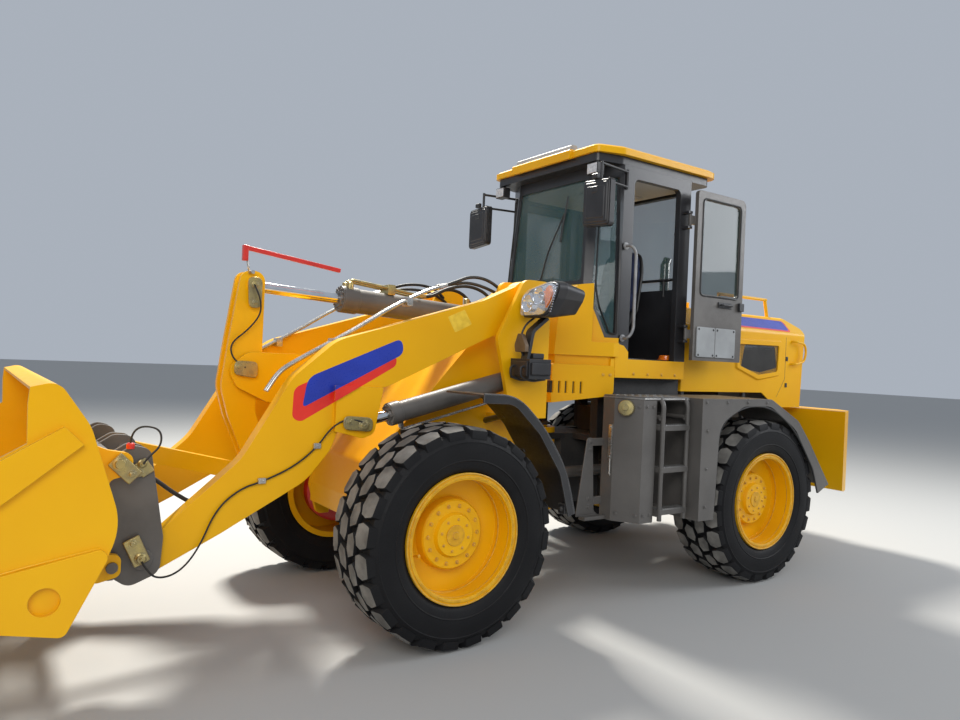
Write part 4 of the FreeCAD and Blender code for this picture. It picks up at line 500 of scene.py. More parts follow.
# Boom pipes: pairs of bright zinc-plated steel pipes clamped along the arms' inner faces, joined to
# the tower by black hoses, and a thin greasing line under the left arm down to the coupler.
pipe_steel = finish("zinc_pipe", (0.62, 0.60, 0.56), (0.45, 0.44, 0.42), rough=(0.2, 0.4), patch=14.0, grain=120.0,
                    bump=0.0002, metal=0.9)
hose_black = finish("hose_rubber", (0.018, 0.018, 0.018), (0.010, 0.010, 0.010), rough=(0.5, 0.7), patch=8.0,
                    grain=260.0, bump=0.0004)
pipe_parts = []
for offset in (0.0, 0.026):
    pipe_line = [(1.660, 0.452 - offset, 1.300), (1.590, 0.440 - offset, 1.405), (1.460, 0.440 - offset, 1.484),
                 (1.180, 0.440 - offset, 1.640), (0.945, 0.435 - offset, 1.787), (0.730, 0.430 - offset, 1.892),
                 (0.640, 0.428 - offset, 1.922)]
    pipe_parts.append(tube(bend(pipe_line, 0.10), 0.0095))
for x, z in ((1.30, 1.563), (0.86, 1.822)):
    pipe_parts.append(brick(x - 0.018, x + 0.018, 0.392, 0.4605, z - 0.030, z + 0.022, 0.004))
piece("boom_pipes", both_sides(pipe_parts), pipe_steel, "boom")
grease_points = [(2.247, 0.612, 0.556), (2.240, 0.640, 0.535), (2.190, 0.640, 0.470), (2.080, 0.585, 0.470),
                 (1.990, 0.556, 0.560), (1.915, 0.552, 0.745), (1.800, 0.550, 0.835), (1.700, 0.550, 0.860),
                 (1.540, 0.550, 0.925), (1.420, 0.550, 1.020), (1.345, 0.560, 1.130), (1.250, 0.580, 1.175),
                 (1.190, 0.590, 1.150)]


def hose(name, corners, diameter, body):
    """Free hose, held at both ends: a NURBS line of order three whose control points are the corners, with a round
    section; the line's evaluated points are read but not used."""
    line = bpy.data.curves.new(name, "CURVE")
    line.dimensions = "3D"
    line.resolution_u = 10
    spline = line.splines.new("NURBS")
    spline.points.add(len(corners) - 1)
    spline.points.foreach_set("co", np.c_[np.array(corners, float), np.ones(len(corners))].ravel())
    spline.order_u = 3
    spline.use_endpoint_u = True
    thing = bpy.data.objects.new(name, line)
    bpy.context.scene.collection.objects.link(thing)
    bpy.context.view_layer.update()
    bare = bpy.data.meshes.new_from_object(thing)
    steps = np.zeros(len(bare.vertices) * 3)
    bare.vertices.foreach_get("co", steps)
    bpy.data.meshes.remove(bare)
    line.bevel_depth = diameter / 2.0
    line.bevel_resolution = 3
    line.use_fill_caps = True
    line.materials.append(hose_black)
    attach(thing, body)
    return thing


hose("arm_grease_line", grease_points, 0.009, "boom")
HOSE_WAYS = {
    # from the tower's cross hole to the pipe's end, for the upper and the lower hose of a side
    "": [(0.130, 0.358, 1.930), (0.180, 0.350, 1.975), (0.290, 0.362, 2.010), (0.420, 0.395, 2.005),
         (0.520, 0.425, 1.968), (0.600, 0.428, 1.936)],
    "_low": [(0.110, 0.358, 1.900), (0.170, 0.335, 1.930), (0.290, 0.335, 1.965), (0.420, 0.365, 1.972),
             (0.520, 0.400, 1.953), (0.600, 0.402, 1.936)]}
for side_name, side in (("arm_hose_left", 1), ("arm_hose_right", -1)):
    for level_name, way in HOSE_WAYS.items():
        corners = [(x, y * side, z) for x, y, z in way]
        nut = lathe([(0, 0), (0, 0.0125), (0.030, 0.0125), (0.032, 0.016), (0.058, 0.016), (0.060, 0)], corners[-1],
                    (0.95, 0, -0.31), 6)
        nut_piece = piece(side_name + level_name + "_nut", [nut], pipe_steel, "boom")
        hose(side_name + level_name, corners, 0.020, "boom")
clip_parts = []
for x, z in ((1.700, 0.865), (1.420, 1.028)):
    clip_parts.append(slab(oblong(x - 0.020, x + 0.020, z - 0.014, z + 0.014, 0.006), 0.5402, 0.558, side_on, 0.002))
    clip_parts.extend(bolt_heads([(x, 0.557, z)], ACROSS, 0.006, 0.006))
piece("arm_line_clips", clip_parts, pipe_steel, "boom")

# Lift rods' pins in the arms: a zinc-plated keeper with a screw holds each, with a greasing
# fitting over its middle. Weld beads run round the cross tube's ends.
EYE_X, EYE_Z = 1.176, 1.132
KEEPER_FACE = 0.5855
pin_parts = [slab([(EYE_X - 0.052, EYE_Z - 0.036, 0.034), (EYE_X + 0.118, EYE_Z - 0.020, 0.034),
                   (EYE_X + 0.118, EYE_Z + 0.052, 0.034), (EYE_X - 0.052, EYE_Z + 0.040, 0.034)],
                  0.5775, KEEPER_FACE + 0.0005, side_on)]
pin_parts += bolt_heads([(EYE_X + 0.088, KEEPER_FACE, EYE_Z + 0.020)], ACROSS, 0.010, 0.007)
pin_parts.append(lathe([(0, 0), (0, 0.030), (0.004, 0.030), (0.006, 0.020), (0.009, 0.018), (0.009, 0.006),
                        (0.013, 0.005), (0.014, 0)], (EYE_X, KEEPER_FACE, EYE_Z), ACROSS, 24))
piece("arm_pin_keepers", both_sides(pin_parts), zinc, "boom")
seam_parts = [lathe([(y - 0.006, 0.1245), (y - 0.002, 0.132), (y + 0.003, 0.1285), (y + 0.003, 0.1245),
                     (y - 0.006, 0.1245)], (1.225, 0, 1.285), ACROSS, 48) for y in (0.457, -0.457)]
piece("boom_welds", seam_parts, yellow, "boom")

# Crank and link: the crank's two cheeks hold the rod's eye above and the link below. A bucket
# level mark, a red square bar on a stay, stands on the crank's head.
dress(yellow, "bell_crank", "tilt_link")
CHEEK_FACE = 0.0825
HEAD_X = 1.625
head_plate = slab([(HEAD_X - 0.040, 1.735, 0.030), (HEAD_X + 0.030, 1.735, 0.030), (HEAD_X + 0.040, 1.905, 0.034),
                   (HEAD_X - 0.040, 1.905, 0.034)], CHEEK_FACE, CHEEK_FACE + 0.0115, side_on)
foot_plate = slab([(1.505, 0.770, 0.03), (1.580, 0.770, 0.03), (1.600, 0.880, 0.03), (1.520, 0.880, 0.03)],
                  CHEEK_FACE, CHEEK_FACE + 0.0095, side_on)
nipple = lathe([(0, 0), (0, 0.020), (0.008, 0.018), (0.010, 0.007), (0.024, 0.006), (0.025, 0)],
               (HEAD_X, CHEEK_FACE + 0.0105, 1.862), ACROSS, 24)
bolts = bolt_heads([(1.622, CHEEK_FACE + 0.0105, 1.765), (1.560, CHEEK_FACE + 0.0085, 0.860)], ACROSS,
                   0.010, 0.011)
piece("crank_pin_keepers", both_sides([head_plate, foot_plate, nipple] + bolts), zinc, "bell_crank")
pivot_plate = slab([(1.600, 1.350, 0.03), (1.730, 1.370, 0.03), (1.725, 1.445, 0.03), (1.600, 1.440, 0.03)],
                   0.1105, 0.121, side_on)
pivot_bolts = bolt_heads([(1.708, 0.120, 1.412)], ACROSS, 0.010, 0.010)
piece("crank_pivot_keepers", both_sides([pivot_plate] + pivot_bolts), zinc, "boom")
MARK_Y = 0.100
stay_parts = [tube(bend([(1.655, 0.072, 1.925), (1.668, MARK_Y, 1.948), (1.689, MARK_Y, 2.050)], 0.015), 0.006),
              tube([(1.640, 0.050, 1.930), (1.640, 0.094, 1.930)], 0.010)]
piece("level_mark_stay", stay_parts, pipe_steel, "bell_crank")
MARK_START, MARK_END = np.array((1.702, 2.059)), np.array((1.134, 1.988))
bar_way = (MARK_END - MARK_START) / np.linalg.norm(MARK_END - MARK_START)


def along_bar(u, v, level):
    """Place along the level mark: u runs down the bar, v across its height and level over its width."""
    return (MARK_START[0] + u * bar_way[0] + v * bar_way[1], level, MARK_START[1] + u * bar_way[1] - v * bar_way[0])


mark = slab(oblong(0.0, 0.572, -0.012, 0.012, 0.004), MARK_Y - 0.012, MARK_Y + 0.012, along_bar, 0.003)
root = slab(oblong(1.675, 1.704, 1.986, 2.071, 0.004), MARK_Y - 0.015, MARK_Y + 0.015, side_on, 0.003)
piece("level_mark", [mark, root], red, "bell_crank")
hose("crank_grease_line", [(1.632, 0.098, 1.862), (1.634, 0.125, 1.850), (1.600, 0.120, 1.780), (1.590, 0.100, 1.700),
                           (1.655, 0.085, 1.610), (1.740, 0.080, 1.540), (1.738, 0.085, 1.470),
                           (1.690, 0.100, 1.420), (1.668, 0.1215, 1.408)], 0.009, "bell_crank")

# Cylinders: honed steel tubes painted dark grey with screwed glands, over hard-chromed rods.
# Short steel pipes and black hoses feed them at their ends.
grey = finish("cylinder_grey", (0.125, 0.115, 0.105), (0.088, 0.080, 0.072), rough=(0.35, 0.55), patch=5.0,
              grain=90.0, bump=0.0004, coat=0.1, edge=(0.24, 0.22, 0.20), dust=0.25)
chrome = finish("hard_chrome", (0.78, 0.79, 0.80), (0.62, 0.63, 0.64), rough=(0.06, 0.16), patch=12.0, grain=60.0,
                bump=0.00005, metal=1.0)
dress(grey, "lift_barrels", "tilt_barrel", "steer_barrel_left", "steer_barrel_right")
dress(chrome, "lift_rods", "tilt_rod", "steer_rod_left", "steer_rod_right")


def gland(start, end, at, radius, count, reach):
    """Gland's face: a stepped ring square to the line from start to end at a distance along it, a wiper inside
    it and screw heads round it."""
    start, end = np.array(start, float), np.array(end, float)
    way = (end - start) / np.linalg.norm(end - start)
    middle = start + way * at
    side = np.cross(way, (0.0, 1.0, 0.0))
    side /= np.linalg.norm(side)
    over = np.cross(way, side)
    angle = np.arange(count) * 2.0 * math.pi / count
    spots = middle + radius * 0.80 * (np.cos(angle)[:, None] * side + np.sin(angle)[:, None] * over)
    ring = lathe([(-0.002, radius * 0.62), (-0.002, radius * 0.98), (0.006, radius * 0.96), (0.006, radius * 0.66),
                  (0.014, radius * 0.60), (0.014, reach), (-0.002, reach), (-0.002, radius * 0.62)], middle, way, 40)
    return [ring] + bolt_heads(spots + way * 0.005, way, radius * 0.085, 0.010)


LIFT_BASE, LIFT_EYE = (0.055, 0.500, 1.418), (1.176, 0.500, 1.132)
TILT_BASE, TILT_TOP = (-0.005, 0.0, 1.775), (1.625, 0.0, 1.862)
lift_gland = gland(LIFT_BASE, LIFT_EYE, 0.9605, 0.064, 8, 0.0305)
piece("lift_glands", both_sides(lift_gland), grey, "lift_barrels")
piece("tilt_gland", gland(TILT_BASE, TILT_TOP, 1.0885, 0.081, 12, 0.0325), grey, "tilt_barrel")
gold_eye = lathe([(-0.0355, 0.031), (-0.0355, 0.0535), (0.0355, 0.0535), (0.0355, 0.031), (-0.0355, 0.031)],
                 LIFT_EYE, ACROSS, 40)
piece("lift_rod_eyes", both_sides([gold_eye]), zinc, "lift_rods")
feed_parts = []
for offset, top in ((0.030, 1.950), (-0.030, 1.946)):
    feed_parts.append(tube(bend([(1.035, offset, 1.895), (1.035, offset, top), (0.80, offset, top - 0.025),
                                 (0.56, offset * 1.6, 1.892)], 0.04), 0.010))
    feed_parts.append(lathe([(0, 0), (0, 0.019), (0.022, 0.019), (0.024, 0.014), (0.05, 0.014), (0.05, 0)],
                            (0.57, offset * 1.6, 1.892), (-1, 0, 0), 6))
feed_parts.append(brick(0.74, 0.79, -0.055, 0.055, 1.880, 1.944, 0.004))
for y in (0.03, -0.03):
    feed_parts.append(lathe([(0, 0), (0, 0.022), (0.045, 0.022), (0.05, 0.015), (0.05, 0)], (1.035, y, 1.888),
                            UP, 24))
feed_parts.append(lathe([(0, 0), (0, 0.020), (0.055, 0.020), (0.06, 0.012), (0.06, 0)], (0.17, 0.0, 1.850),
                        UP, 24))
piece("tilt_feed_pipes", feed_parts, zinc, "tilt_barrel")
hose("tilt_hose_left", [(0.020, 0.118, 1.790), (0.030, 0.128, 1.850), (0.10, 0.125, 1.950), (0.24, 0.090, 1.990),
                        (0.38, 0.055, 1.950), (0.47, 0.048, 1.893), (0.525, 0.048, 1.891)], 0.022, "tilt_barrel")
hose("tilt_hose_right", [(0.010, -0.118, 1.780), (0.020, -0.128, 1.840), (0.09, -0.130, 1.940), (0.23, -0.095, 1.975),
                         (0.37, -0.055, 1.940), (0.47, -0.048, 1.893), (0.525, -0.048, 1.891)], 0.022, "tilt_barrel")
lift_way = (np.array(LIFT_EYE) - np.array(LIFT_BASE)) / 1.157
lift_down = np.array((lift_way[2], 0.0, -lift_way[0]))
lift_feed = []
for reach in (0.90, 0.14):
    spot = np.array(LIFT_BASE) + lift_way * reach + lift_down * 0.055
    lift_feed.append(lathe([(0, 0), (0, 0.016), (0.030, 0.016), (0.034, 0.011), (0.034, 0)], spot, lift_down, 20))
spot = np.array(LIFT_BASE) + lift_way * 0.90 + lift_down * 0.082
lift_feed.append(tube(bend([spot, spot + lift_down * 0.018, spot + lift_down * 0.018 - lift_way * 0.76,
                            spot - lift_way * 0.76], 0.02), 0.0075))
piece("lift_feed_pipes", both_sides(lift_feed), pipe_steel, "lift_barrels")

# Quick coupler: a welded dark-grey carrier pinned to the arms and the link. Its pins are held
# by zinc-plated keepers with screws, a greasing hose loops over it, and a latch hose runs to it.
dress(grey, "quick_coupler")
coupler_parts = []


def keeper(middle, along, long_half, short_half, low, high):
    """Rounded plate about a middle (x, z), its long side turned to an angle in side view."""
    way = np.array((math.cos(along), math.sin(along)))
    over = np.array((-way[1], way[0]))
    spot = np.array(middle)
    corners = [spot + way * a * long_half + over * b * short_half for a, b in ((-1, -1), (1, -1), (1, 1), (-1, 1))]
    return slab([(c[0], c[1], 0.008) for c in corners], low, high, side_on, 0.003)


for middle, along, long_half, short_half, low, screws in (
        ((2.243, 0.960), 0.98, 0.036, 0.029, 0.5705, [(2.262, 0.938)]),
        ((2.263, 0.592), 1.145, 0.064, 0.036, 0.5855, [(2.282, 0.628)])):
    coupler_parts.append(keeper(middle, along, long_half, short_half, low, low + 0.011))
    coupler_parts.extend(bolt_heads([(x, low + 0.0105, z) for x, z in screws], ACROSS, 0.011, 0.011))
for x, z, low, size in ((2.247, 0.559, 0.596, 0.026), (2.254, 0.979, 0.581, 0.020)):
    coupler_parts.append(lathe([(0, 0), (0, size), (0.006, size), (0.010, size * 0.7), (0.016, size * 0.6),
                                (0.016, 0.007), (0.028, 0.006), (0.029, 0)], (x, low, z), ACROSS, 24))
piece("coupler_keepers", both_sides(coupler_parts), zinc, "bucket")
hook_parts = [keeper((2.331, 0.968), 0.79, 0.063, 0.037, 0.6285, 0.6385)]
hook_parts += bolt_heads([(2.303, 0.6375, 0.943)], ACROSS, 0.012, 0.010)
hook_parts.append(lathe([(0, 0), (0, 0.030), (0.005, 0.030), (0.007, 0.022), (0.013, 0.020), (0.014, 0)],
                        (2.352, 0.6375, 0.990), ACROSS, 28))
piece("hook_pin_keepers", both_sides(hook_parts), zinc, "bucket")
cap = lathe([(0, 0), (0, 0.018), (0.020, 0.018), (0.026, 0.012), (0.026, 0)], (2.300, 0.560, 1.045), UP, 24)
piece("coupler_caps", [cap], red, "bucket")
hose("coupler_grease_line", [(2.300, 0.560, 1.068), (2.300, 0.562, 1.110), (2.262, 0.580, 1.150),
                             (2.185, 0.600, 1.135), (2.180, 0.605, 1.060), (2.235, 0.608, 1.010),
                             (2.254, 0.6095, 0.980)], 0.009, "bucket")
hose("latch_hose", [(2.225, 0.4645, 0.920), (2.170, 0.445, 0.885), (2.080, 0.430, 0.810), (1.985, 0.440, 0.750),
                    (1.900, 0.457, 0.722)], 0.020, "boom")

# Bucket: rolled plate with welded cheeks and bands, and a bolted edge of wear steel whose paint
# the first loads have rubbed. Beads run where the plates meet.
dress(yellow, "bucket")
edge_steel = finish("edge_steel", (0.66, 0.42, 0.05), (0.42, 0.36, 0.24), rough=(0.35, 0.6), patch=7.0, grain=60.0,
                    bump=0.0008, metal=0.3, edge=(0.55, 0.50, 0.42))
dress(edge_steel, "cutting_edge")
BUCKET_SIDE_Y = 1.035
bead_paths = [
    [(2.455, 0.704), (2.478, 0.733), (2.70, 0.694), (2.955, 0.640), (3.095, 0.545)],
    [(2.545, 1.128), (2.798, 0.920), (3.155, 0.716), (3.325, 0.608)]]
bead_parts = []
for path in bead_paths:
    bead_parts.append(tube(bend([(x, BUCKET_SIDE_Y + 0.001, z) for x, z in path], 0.04), 0.0045, 8))
for hanger_y in (0.588, 0.627):
    bead_parts.append(tube(bend([(2.455, hanger_y, 1.070), (2.415, hanger_y, 0.830), (2.455, hanger_y, 0.640),
                                 (2.535, hanger_y, 0.500)], 0.25, 12), 0.005, 8))
piece("bucket_welds", both_sides(bead_parts), yellow, "bucket")
edge_bolts = []
slope = math.atan2(0.602 - 0.419, 3.375 - 2.581)
square_off = (-math.sin(slope), 0, math.cos(slope))
for y in np.linspace(-0.90, 0.90, 9):
    spot = (3.270 + square_off[0] * 0.0138, y, 0.5778 + square_off[2] * 0.0142)
    edge_bolts.append(lathe([(0, 0), (0, 0.021), (0.003, 0.021), (0.006, 0.013), (0.006, 0)], spot, square_off, 20))
piece("edge_bolts", edge_bolts, edge_steel, "bucket")

# Front fenders: bent sheet painted black, with a rolled lip at the outer edge and a small
# angle bracket at the foot. Stones have dulled them.
fender_black = finish("fender_black", (0.026, 0.026, 0.028), (0.014, 0.014, 0.016), rough=(0.30, 0.5), patch=5.0,
                      grain=60.0, bump=0.0006, coat=0.15, edge=(0.22, 0.22, 0.22), dust=0.35, round_off=0.006)
dress(fender_black, "front_fenders")
LIP_Y = 0.995
lip_line = [(0.700, 1.3255), (0.480, 1.3185), (0.278, 1.142), (0.110, 0.906), (0.034, 0.652)]
lip = tube(bend([(x, LIP_Y, z) for x, z in lip_line], 0.15, 10), 0.0065, 10)
foot_angle = [brick(0.030, 0.078, 0.905, 0.960, 0.640, 0.700)]
foot_angle += bolt_heads([(0.079, 0.932, 0.670)], FORWARD, 0.009, 0.009)
piece("fender_lips", both_sides([lip]) + both_sides(foot_angle), fender_black,
      "front_frame")

# Headlamps: black moulded pods with clear covers over two chrome bowls and an orange turn lamp,
# on bent arms that stand on a lamp box with its cables.
pod_plastic = finish("pod_plastic", (0.030, 0.030, 0.033), (0.018, 0.018, 0.020), rough=(0.35, 0.5), patch=8.0,
                     grain=300.0, bump=0.0003, edge=(0.09, 0.09, 0.09))
dress(pod_plastic, "headlamps")
amber = finish("amber_lens", (0.90, 0.22, 0.01), (0.80, 0.16, 0.01), rough=(0.08, 0.18), patch=40.0, grain=300.0,
               bump=0.0002, coat=0.6)
bright = finish("lamp_chrome", (0.86, 0.88, 0.92), (0.66, 0.70, 0.78), rough=(0.04, 0.12), patch=30.0, grain=90.0,
                bump=0.0001, metal=1.0)
POD = [(0.662, 1.765, 0.025), (0.668, 1.885, 0.030), (0.725, 1.928, 0.040), (0.930, 1.972, 0.050),
       (1.000, 1.950, 0.040), (0.965, 1.870, 0.040), (0.880, 1.765, 0.040)]


def drawn_in(corners, share, middle=(0.815, 1.865)):
    """The outline scaled about a middle, its corner radii with it."""
    return [(middle[0] + (u - middle[0]) * share, middle[1] + (v - middle[1]) * share, r * share)
            for u, v, r in corners]


POD_FACE = 0.205
bezel = slab(drawn_in(POD, 0.95), POD_FACE - 0.004, POD_FACE + 0.010, front_on, 0.004, 9)
mirror_bed = slab(drawn_in(POD, 0.86), POD_FACE + 0.006, POD_FACE + 0.0125, front_on, 0.002, 9)
bowl_parts = []
for spot, size in (((0.735, 1.845), 0.050), ((0.835, 1.885), 0.048)):
    bowl = [(0.0, 0.0), (0.0, size * 0.45), (0.016, size), (0.022, size * 1.03), (0.022, size * 1.10),
            (-0.002, size * 1.10), (-0.002, 0.0)]
    bowl_parts.append(lathe(bowl, (POD_FACE + 0.010, *spot), FORWARD, 36))
    bowl_parts.append(lathe([(0.0, 0.0), (0.0, 0.010), (0.014, 0.009), (0.018, 0.0)], (POD_FACE + 0.011, *spot),
                            FORWARD, 16))
turn_corners = [(0.888, 1.812, 0.01), (0.884, 1.925, 0.02), (0.918, 1.944, 0.01), (0.932, 1.905, 0.01),
                (0.918, 1.850, 0.01)]
turn_lens = slab(turn_corners, POD_FACE + 0.010, POD_FACE + 0.026, front_on, 0.004, 7)
rib_parts = []
for step in np.linspace(0.0, 1.0, 12):
    rib_y, rib_z = 0.905 + 0.050 * step, 1.795 + 0.150 * step
    rib_parts.append(brick(POD_FACE + 0.011, POD_FACE + 0.018, rib_y + 0.012, rib_y + 0.026, rib_z - 0.0035,
                           rib_z + 0.0035, 0.001))
for lamp_name, parts, stuff, slot_name in (
        ("lamp_bezels", [bezel], pod_plastic, "plastic_black"),
        ("lamp_bowls", [mirror_bed] + bowl_parts + rib_parts, bright, "chrome_rod"),
        ("turn_lamps", [turn_lens], amber, "glass_dark")):
    piece(lamp_name, both_sides(parts), stuff, "front_frame")


def glazing(name, tint, cover, rough, film):
    """Pane: a glossy surface that covers only a share of what is behind it; a broad noise fades its tint to a film
    of dust and waves it a little, and a fine one spreads the roughness between its limits."""
    stuff = bpy.data.materials.new(name)
    stuff.use_nodes = True
    place = add(stuff, "TexCoord", {}).outputs["Object"]
    broad = add(stuff, "TexNoise", {"Vector": place, "Scale": 2.2, "Detail": 5.0}).outputs["Fac"]
    streak = add(stuff, "TexNoise", {"Vector": place, "Scale": 30.0}).outputs["Fac"]
    spread = add(stuff, "MapRange", {"Value": streak, "To Min": rough[0], "To Max": rough[1]})
    wave = add(stuff, "Bump", {"Height": broad, "Distance": 0.0004, "Strength": 0.25})
    for socket, value in (("Alpha", cover), ("IOR", 1.5), ("Coat Weight", 0.0),
                          ("Base Color", ramp(stuff, broad, 0.4, 0.8, tint, film)),
                          ("Roughness", spread.outputs["Result"]), ("Normal", wave.outputs["Normal"])):
        feed(stuff.node_tree.nodes["Principled BSDF"].inputs[socket], value)
    return stuff


lamp_glass = glazing("lamp_glass", (0.75, 0.80, 0.85), 0.16, (0.02, 0.06), (0.85, 0.88, 0.90))
cover_parts = [slab(drawn_in(POD, 0.90), POD_FACE + 0.030, POD_FACE + 0.036, front_on, 0.003, 9)]
piece("lamp_covers", both_sides(cover_parts), lamp_glass, "front_frame")
box_parts = [brick(0.252, 0.262, 0.640, 0.790, 1.420, 1.508, 0.004),
             brick(0.10, 0.24, 0.8005, 0.815, 1.43, 1.50, 0.004),
             brick(0.12, 0.20, 0.700, 0.770, 1.5225, 1.556, 0.005)]
for y in (0.668, 0.762):
    box_parts.append(tube(bend([(0.262, y, 1.480), (0.285, y, 1.470), (0.285, y, 1.415), (0.20, y, 1.392),
                                (0.10, y, 1.404)], 0.03), 0.007))
cable_line = [(0.235, 0.715, 1.540), (0.262, 0.708, 1.610), (0.225, 0.706, 1.720), (0.120, 0.712, 1.790)]
box_parts.append(tube(bend(cable_line, 0.05), 0.006))
brown = finish("brown_cover", (0.155, 0.100, 0.055), (0.100, 0.066, 0.040), rough=(0.4, 0.6), patch=12.0, grain=90.0,
               bump=0.0004, edge=(0.26, 0.20, 0.14))
cover_box = slab([(0.672, 1.560, 0.008), (0.662, 1.600, 0.01), (0.690, 1.668, 0.008), (0.728, 1.668, 0.008),
                  (0.770, 1.600, 0.01), (0.770, 1.560, 0.008)], 0.236, 0.262, front_on, 0.003)
piece("lamp_box_trim", both_sides(box_parts), pod_plastic, "front_frame")
piece("lamp_box_covers", both_sides([cover_box]), brown, "front_frame")

# Rear frame with engine, gearbox and radiator: black-painted rails and cast housings, dusty
# from the road. Hinge pins are capped and screwed.
frame_black = finish("frame_black", (0.034, 0.033, 0.032), (0.018, 0.018, 0.018), rough=(0.45, 0.65), patch=4.0,
                     grain=80.0, bump=0.0008, edge=(0.11, 0.105, 0.10), dust=0.45)
dress(frame_black, "rear_frame", "radiator")
dress(cast, "engine_block")
HINGE_X = -0.525
hinge_parts = []
for level, way in ((1.060, 1), (0.440, -1)):
    hinge_parts.append(lathe([(0, 0), (0, 0.070), (0.012 * way, 0.070), (0.016 * way, 0.060), (0.016 * way, 0)],
                             (HINGE_X, 0, level), UP, 36))
    for angle in np.arange(4) * math.pi / 2.0 + 0.4:
        spot = (HINGE_X + 0.048 * math.cos(angle), 0.048 * math.sin(angle), level + 0.016 * way)
        hinge_parts += bolt_heads([spot], (0, 0, way), 0.009, 0.010)
piece("hinge_caps", hinge_parts, frame_black, "front_frame")

# Side tanks, step deck and rear fenders: folded sheet in satin taupe. The deck is raised-pattern
# plate; the filler has a plated cap, the tank a sight tube, and the arches a rubber edge.
taupe = finish("taupe_paint", (0.118, 0.110, 0.102), (0.086, 0.080, 0.074), rough=(0.38, 0.55), patch=3.0, grain=70.0,
               bump=0.0006, coat=0.12, edge=(0.22, 0.21, 0.20), dust=0.22)
dress(taupe, "side_tanks", "rear_fenders", "ladders")
plate = finish("chequer_plate", (0.30, 0.295, 0.285), (0.20, 0.195, 0.19), rough=(0.3, 0.5), patch=12.0, grain=90.0,
               bump=0.0006, metal=0.6, edge=(0.42, 0.41, 0.40), dust=0.25, round_off=0.002)
deck = slab([(-0.515, 0.642, 0.004), (-0.515, 0.738, 0.004), (-0.612, 0.897, 0.004), (-1.036, 0.897, 0.004),
             (-1.036, 0.642, 0.004)], 1.3122, 1.3152, plan_on, 0.0012)
rail = tube([(-0.5125, 0.640, 1.300), (-0.5125, 0.741, 1.300), (-0.6105, 0.902, 1.300), (-1.044, 0.902, 1.300)],
            0.006, 8)
deck_parts = [deck, rail]
spots = [(x, y) for x in np.arange(-1.02, -0.56, 0.034) for y in np.arange(0.665, 0.885, 0.034)
         if y < 0.735 + (-0.515 - x) * 1.5]
for number, (x, y) in enumerate(spots):
    slant = 0.7 if number % 2 else -0.7
    c, s = math.cos(slant), math.sin(slant)
    corners = [(x + c * a - s * b, y + s * a + c * b, 0.002)
               for a, b in ((-0.012, 0), (0, -0.004), (0.012, 0), (0, 0.004))]
    deck_parts.append(slab(corners, 1.3148, 1.3168, plan_on, 0.0008, 2))
piece("deck_plates", both_sides(deck_parts), plate, "rear_frame")
cap_profile = [(0, 0), (0, 0.040), (0.018, 0.040), (0.020, 0.050), (0.026, 0.052), (0.050, 0.050), (0.054, 0.046),
               (0.056, 0.020), (0.062, 0.018), (0.062, 0)]
tank_parts = [lathe(cap_profile, (-0.568, 0.800, 1.235), (0.86, 0.50, 0.10), 32)]
tank_parts.append(lathe([(0, 0), (0, 0.056), (0.008, 0.056), (0.010, 0.048), (0.010, 0)], (-0.566, 0.800, 1.235),
                        (0.86, 0.50, 0.0), 32))
piece("tank_filler", tank_parts, zinc, "rear_frame")
gauge_parts = [brick(-0.512, -0.500, 0.708, 0.732, 0.905, 1.125, 0.003),
               tube([(-0.506, 0.722, 0.910), (-0.506, 0.722, 0.810), (-0.513, 0.722, 0.800)], 0.006)]
for z in (1.110, 0.920):
    gauge_parts += bolt_heads([(-0.500, 0.720, z)], FORWARD, 0.006, 0.006)
piece("tank_gauge", gauge_parts, pipe_steel, "rear_frame")
tank_bolts = []
for x in (-0.530, -0.595):
    for z in (0.56, 1.25):
        y = 0.740 + (-0.512 - x) * 1.633
        tank_bolts += bolt_heads([(x + 0.001, y + 0.001, z)], (0.853, 0.522, 0), 0.008, 0.008)
tank_bolts += bolt_heads([(x, 0.9005, z) for x in (-0.64, -0.70) for z in (0.56, 1.25)], ACROSS, 0.008, 0.008)
tank_bolts += bolt_heads([(x, 1.0145, 1.287) for x in (-1.08, -1.30, -1.52, -1.74)], ACROSS, 0.008, 0.007)
tank_bolts += bolt_heads([(-1.10, 1.0145, z) for z in (0.60, 0.85, 1.10)], ACROSS, 0.008, 0.007)
piece("side_screws", both_sides(tank_bolts), taupe, "rear_frame")
ARCH_Y = 1.0075
arch_line = [(-1.196, 0.515), (-1.226, 1.139), (-1.480, 1.261), (-1.790, 1.261), (-2.108, 1.089), (-2.360, 0.790),
             (-2.438, 0.604)]
arch_edge = tube(bend([(x, ARCH_Y, z) for x, z in arch_line], 0.17, 10), 0.0065, 8)
piece("arch_edges", both_sides([arch_edge]), hose_black, "rear_frame")
tread_parts = []
for z in (0.592, 0.862, 1.132):
    tread_parts.append(brick(-1.006, -0.759, 0.864, 0.936, z - 0.0005, z + 0.003, 0.001))
    for x in np.arange(-0.995, -0.765, 0.0225):
        tread_parts.append(brick(x - 0.004, x + 0.004, 0.870, 0.930, z + 0.002, z + 0.007, 0.0015))
piece("ladder_treads", both_sides(tread_parts), plate, "rear_frame")
grip_parts = []
for x in (-0.765, -1.000):
    grip_line = [(x, 0.900, 1.170), (x, 0.925, 1.200), (x, 0.925, 1.262), (x, 0.905, 1.296), (x, 0.800, 1.300)]
    grip_parts.append(tube(bend(grip_line, 0.05), 0.0155, 14))
piece("step_grips", both_sides(grip_parts), taupe, "rear_frame")
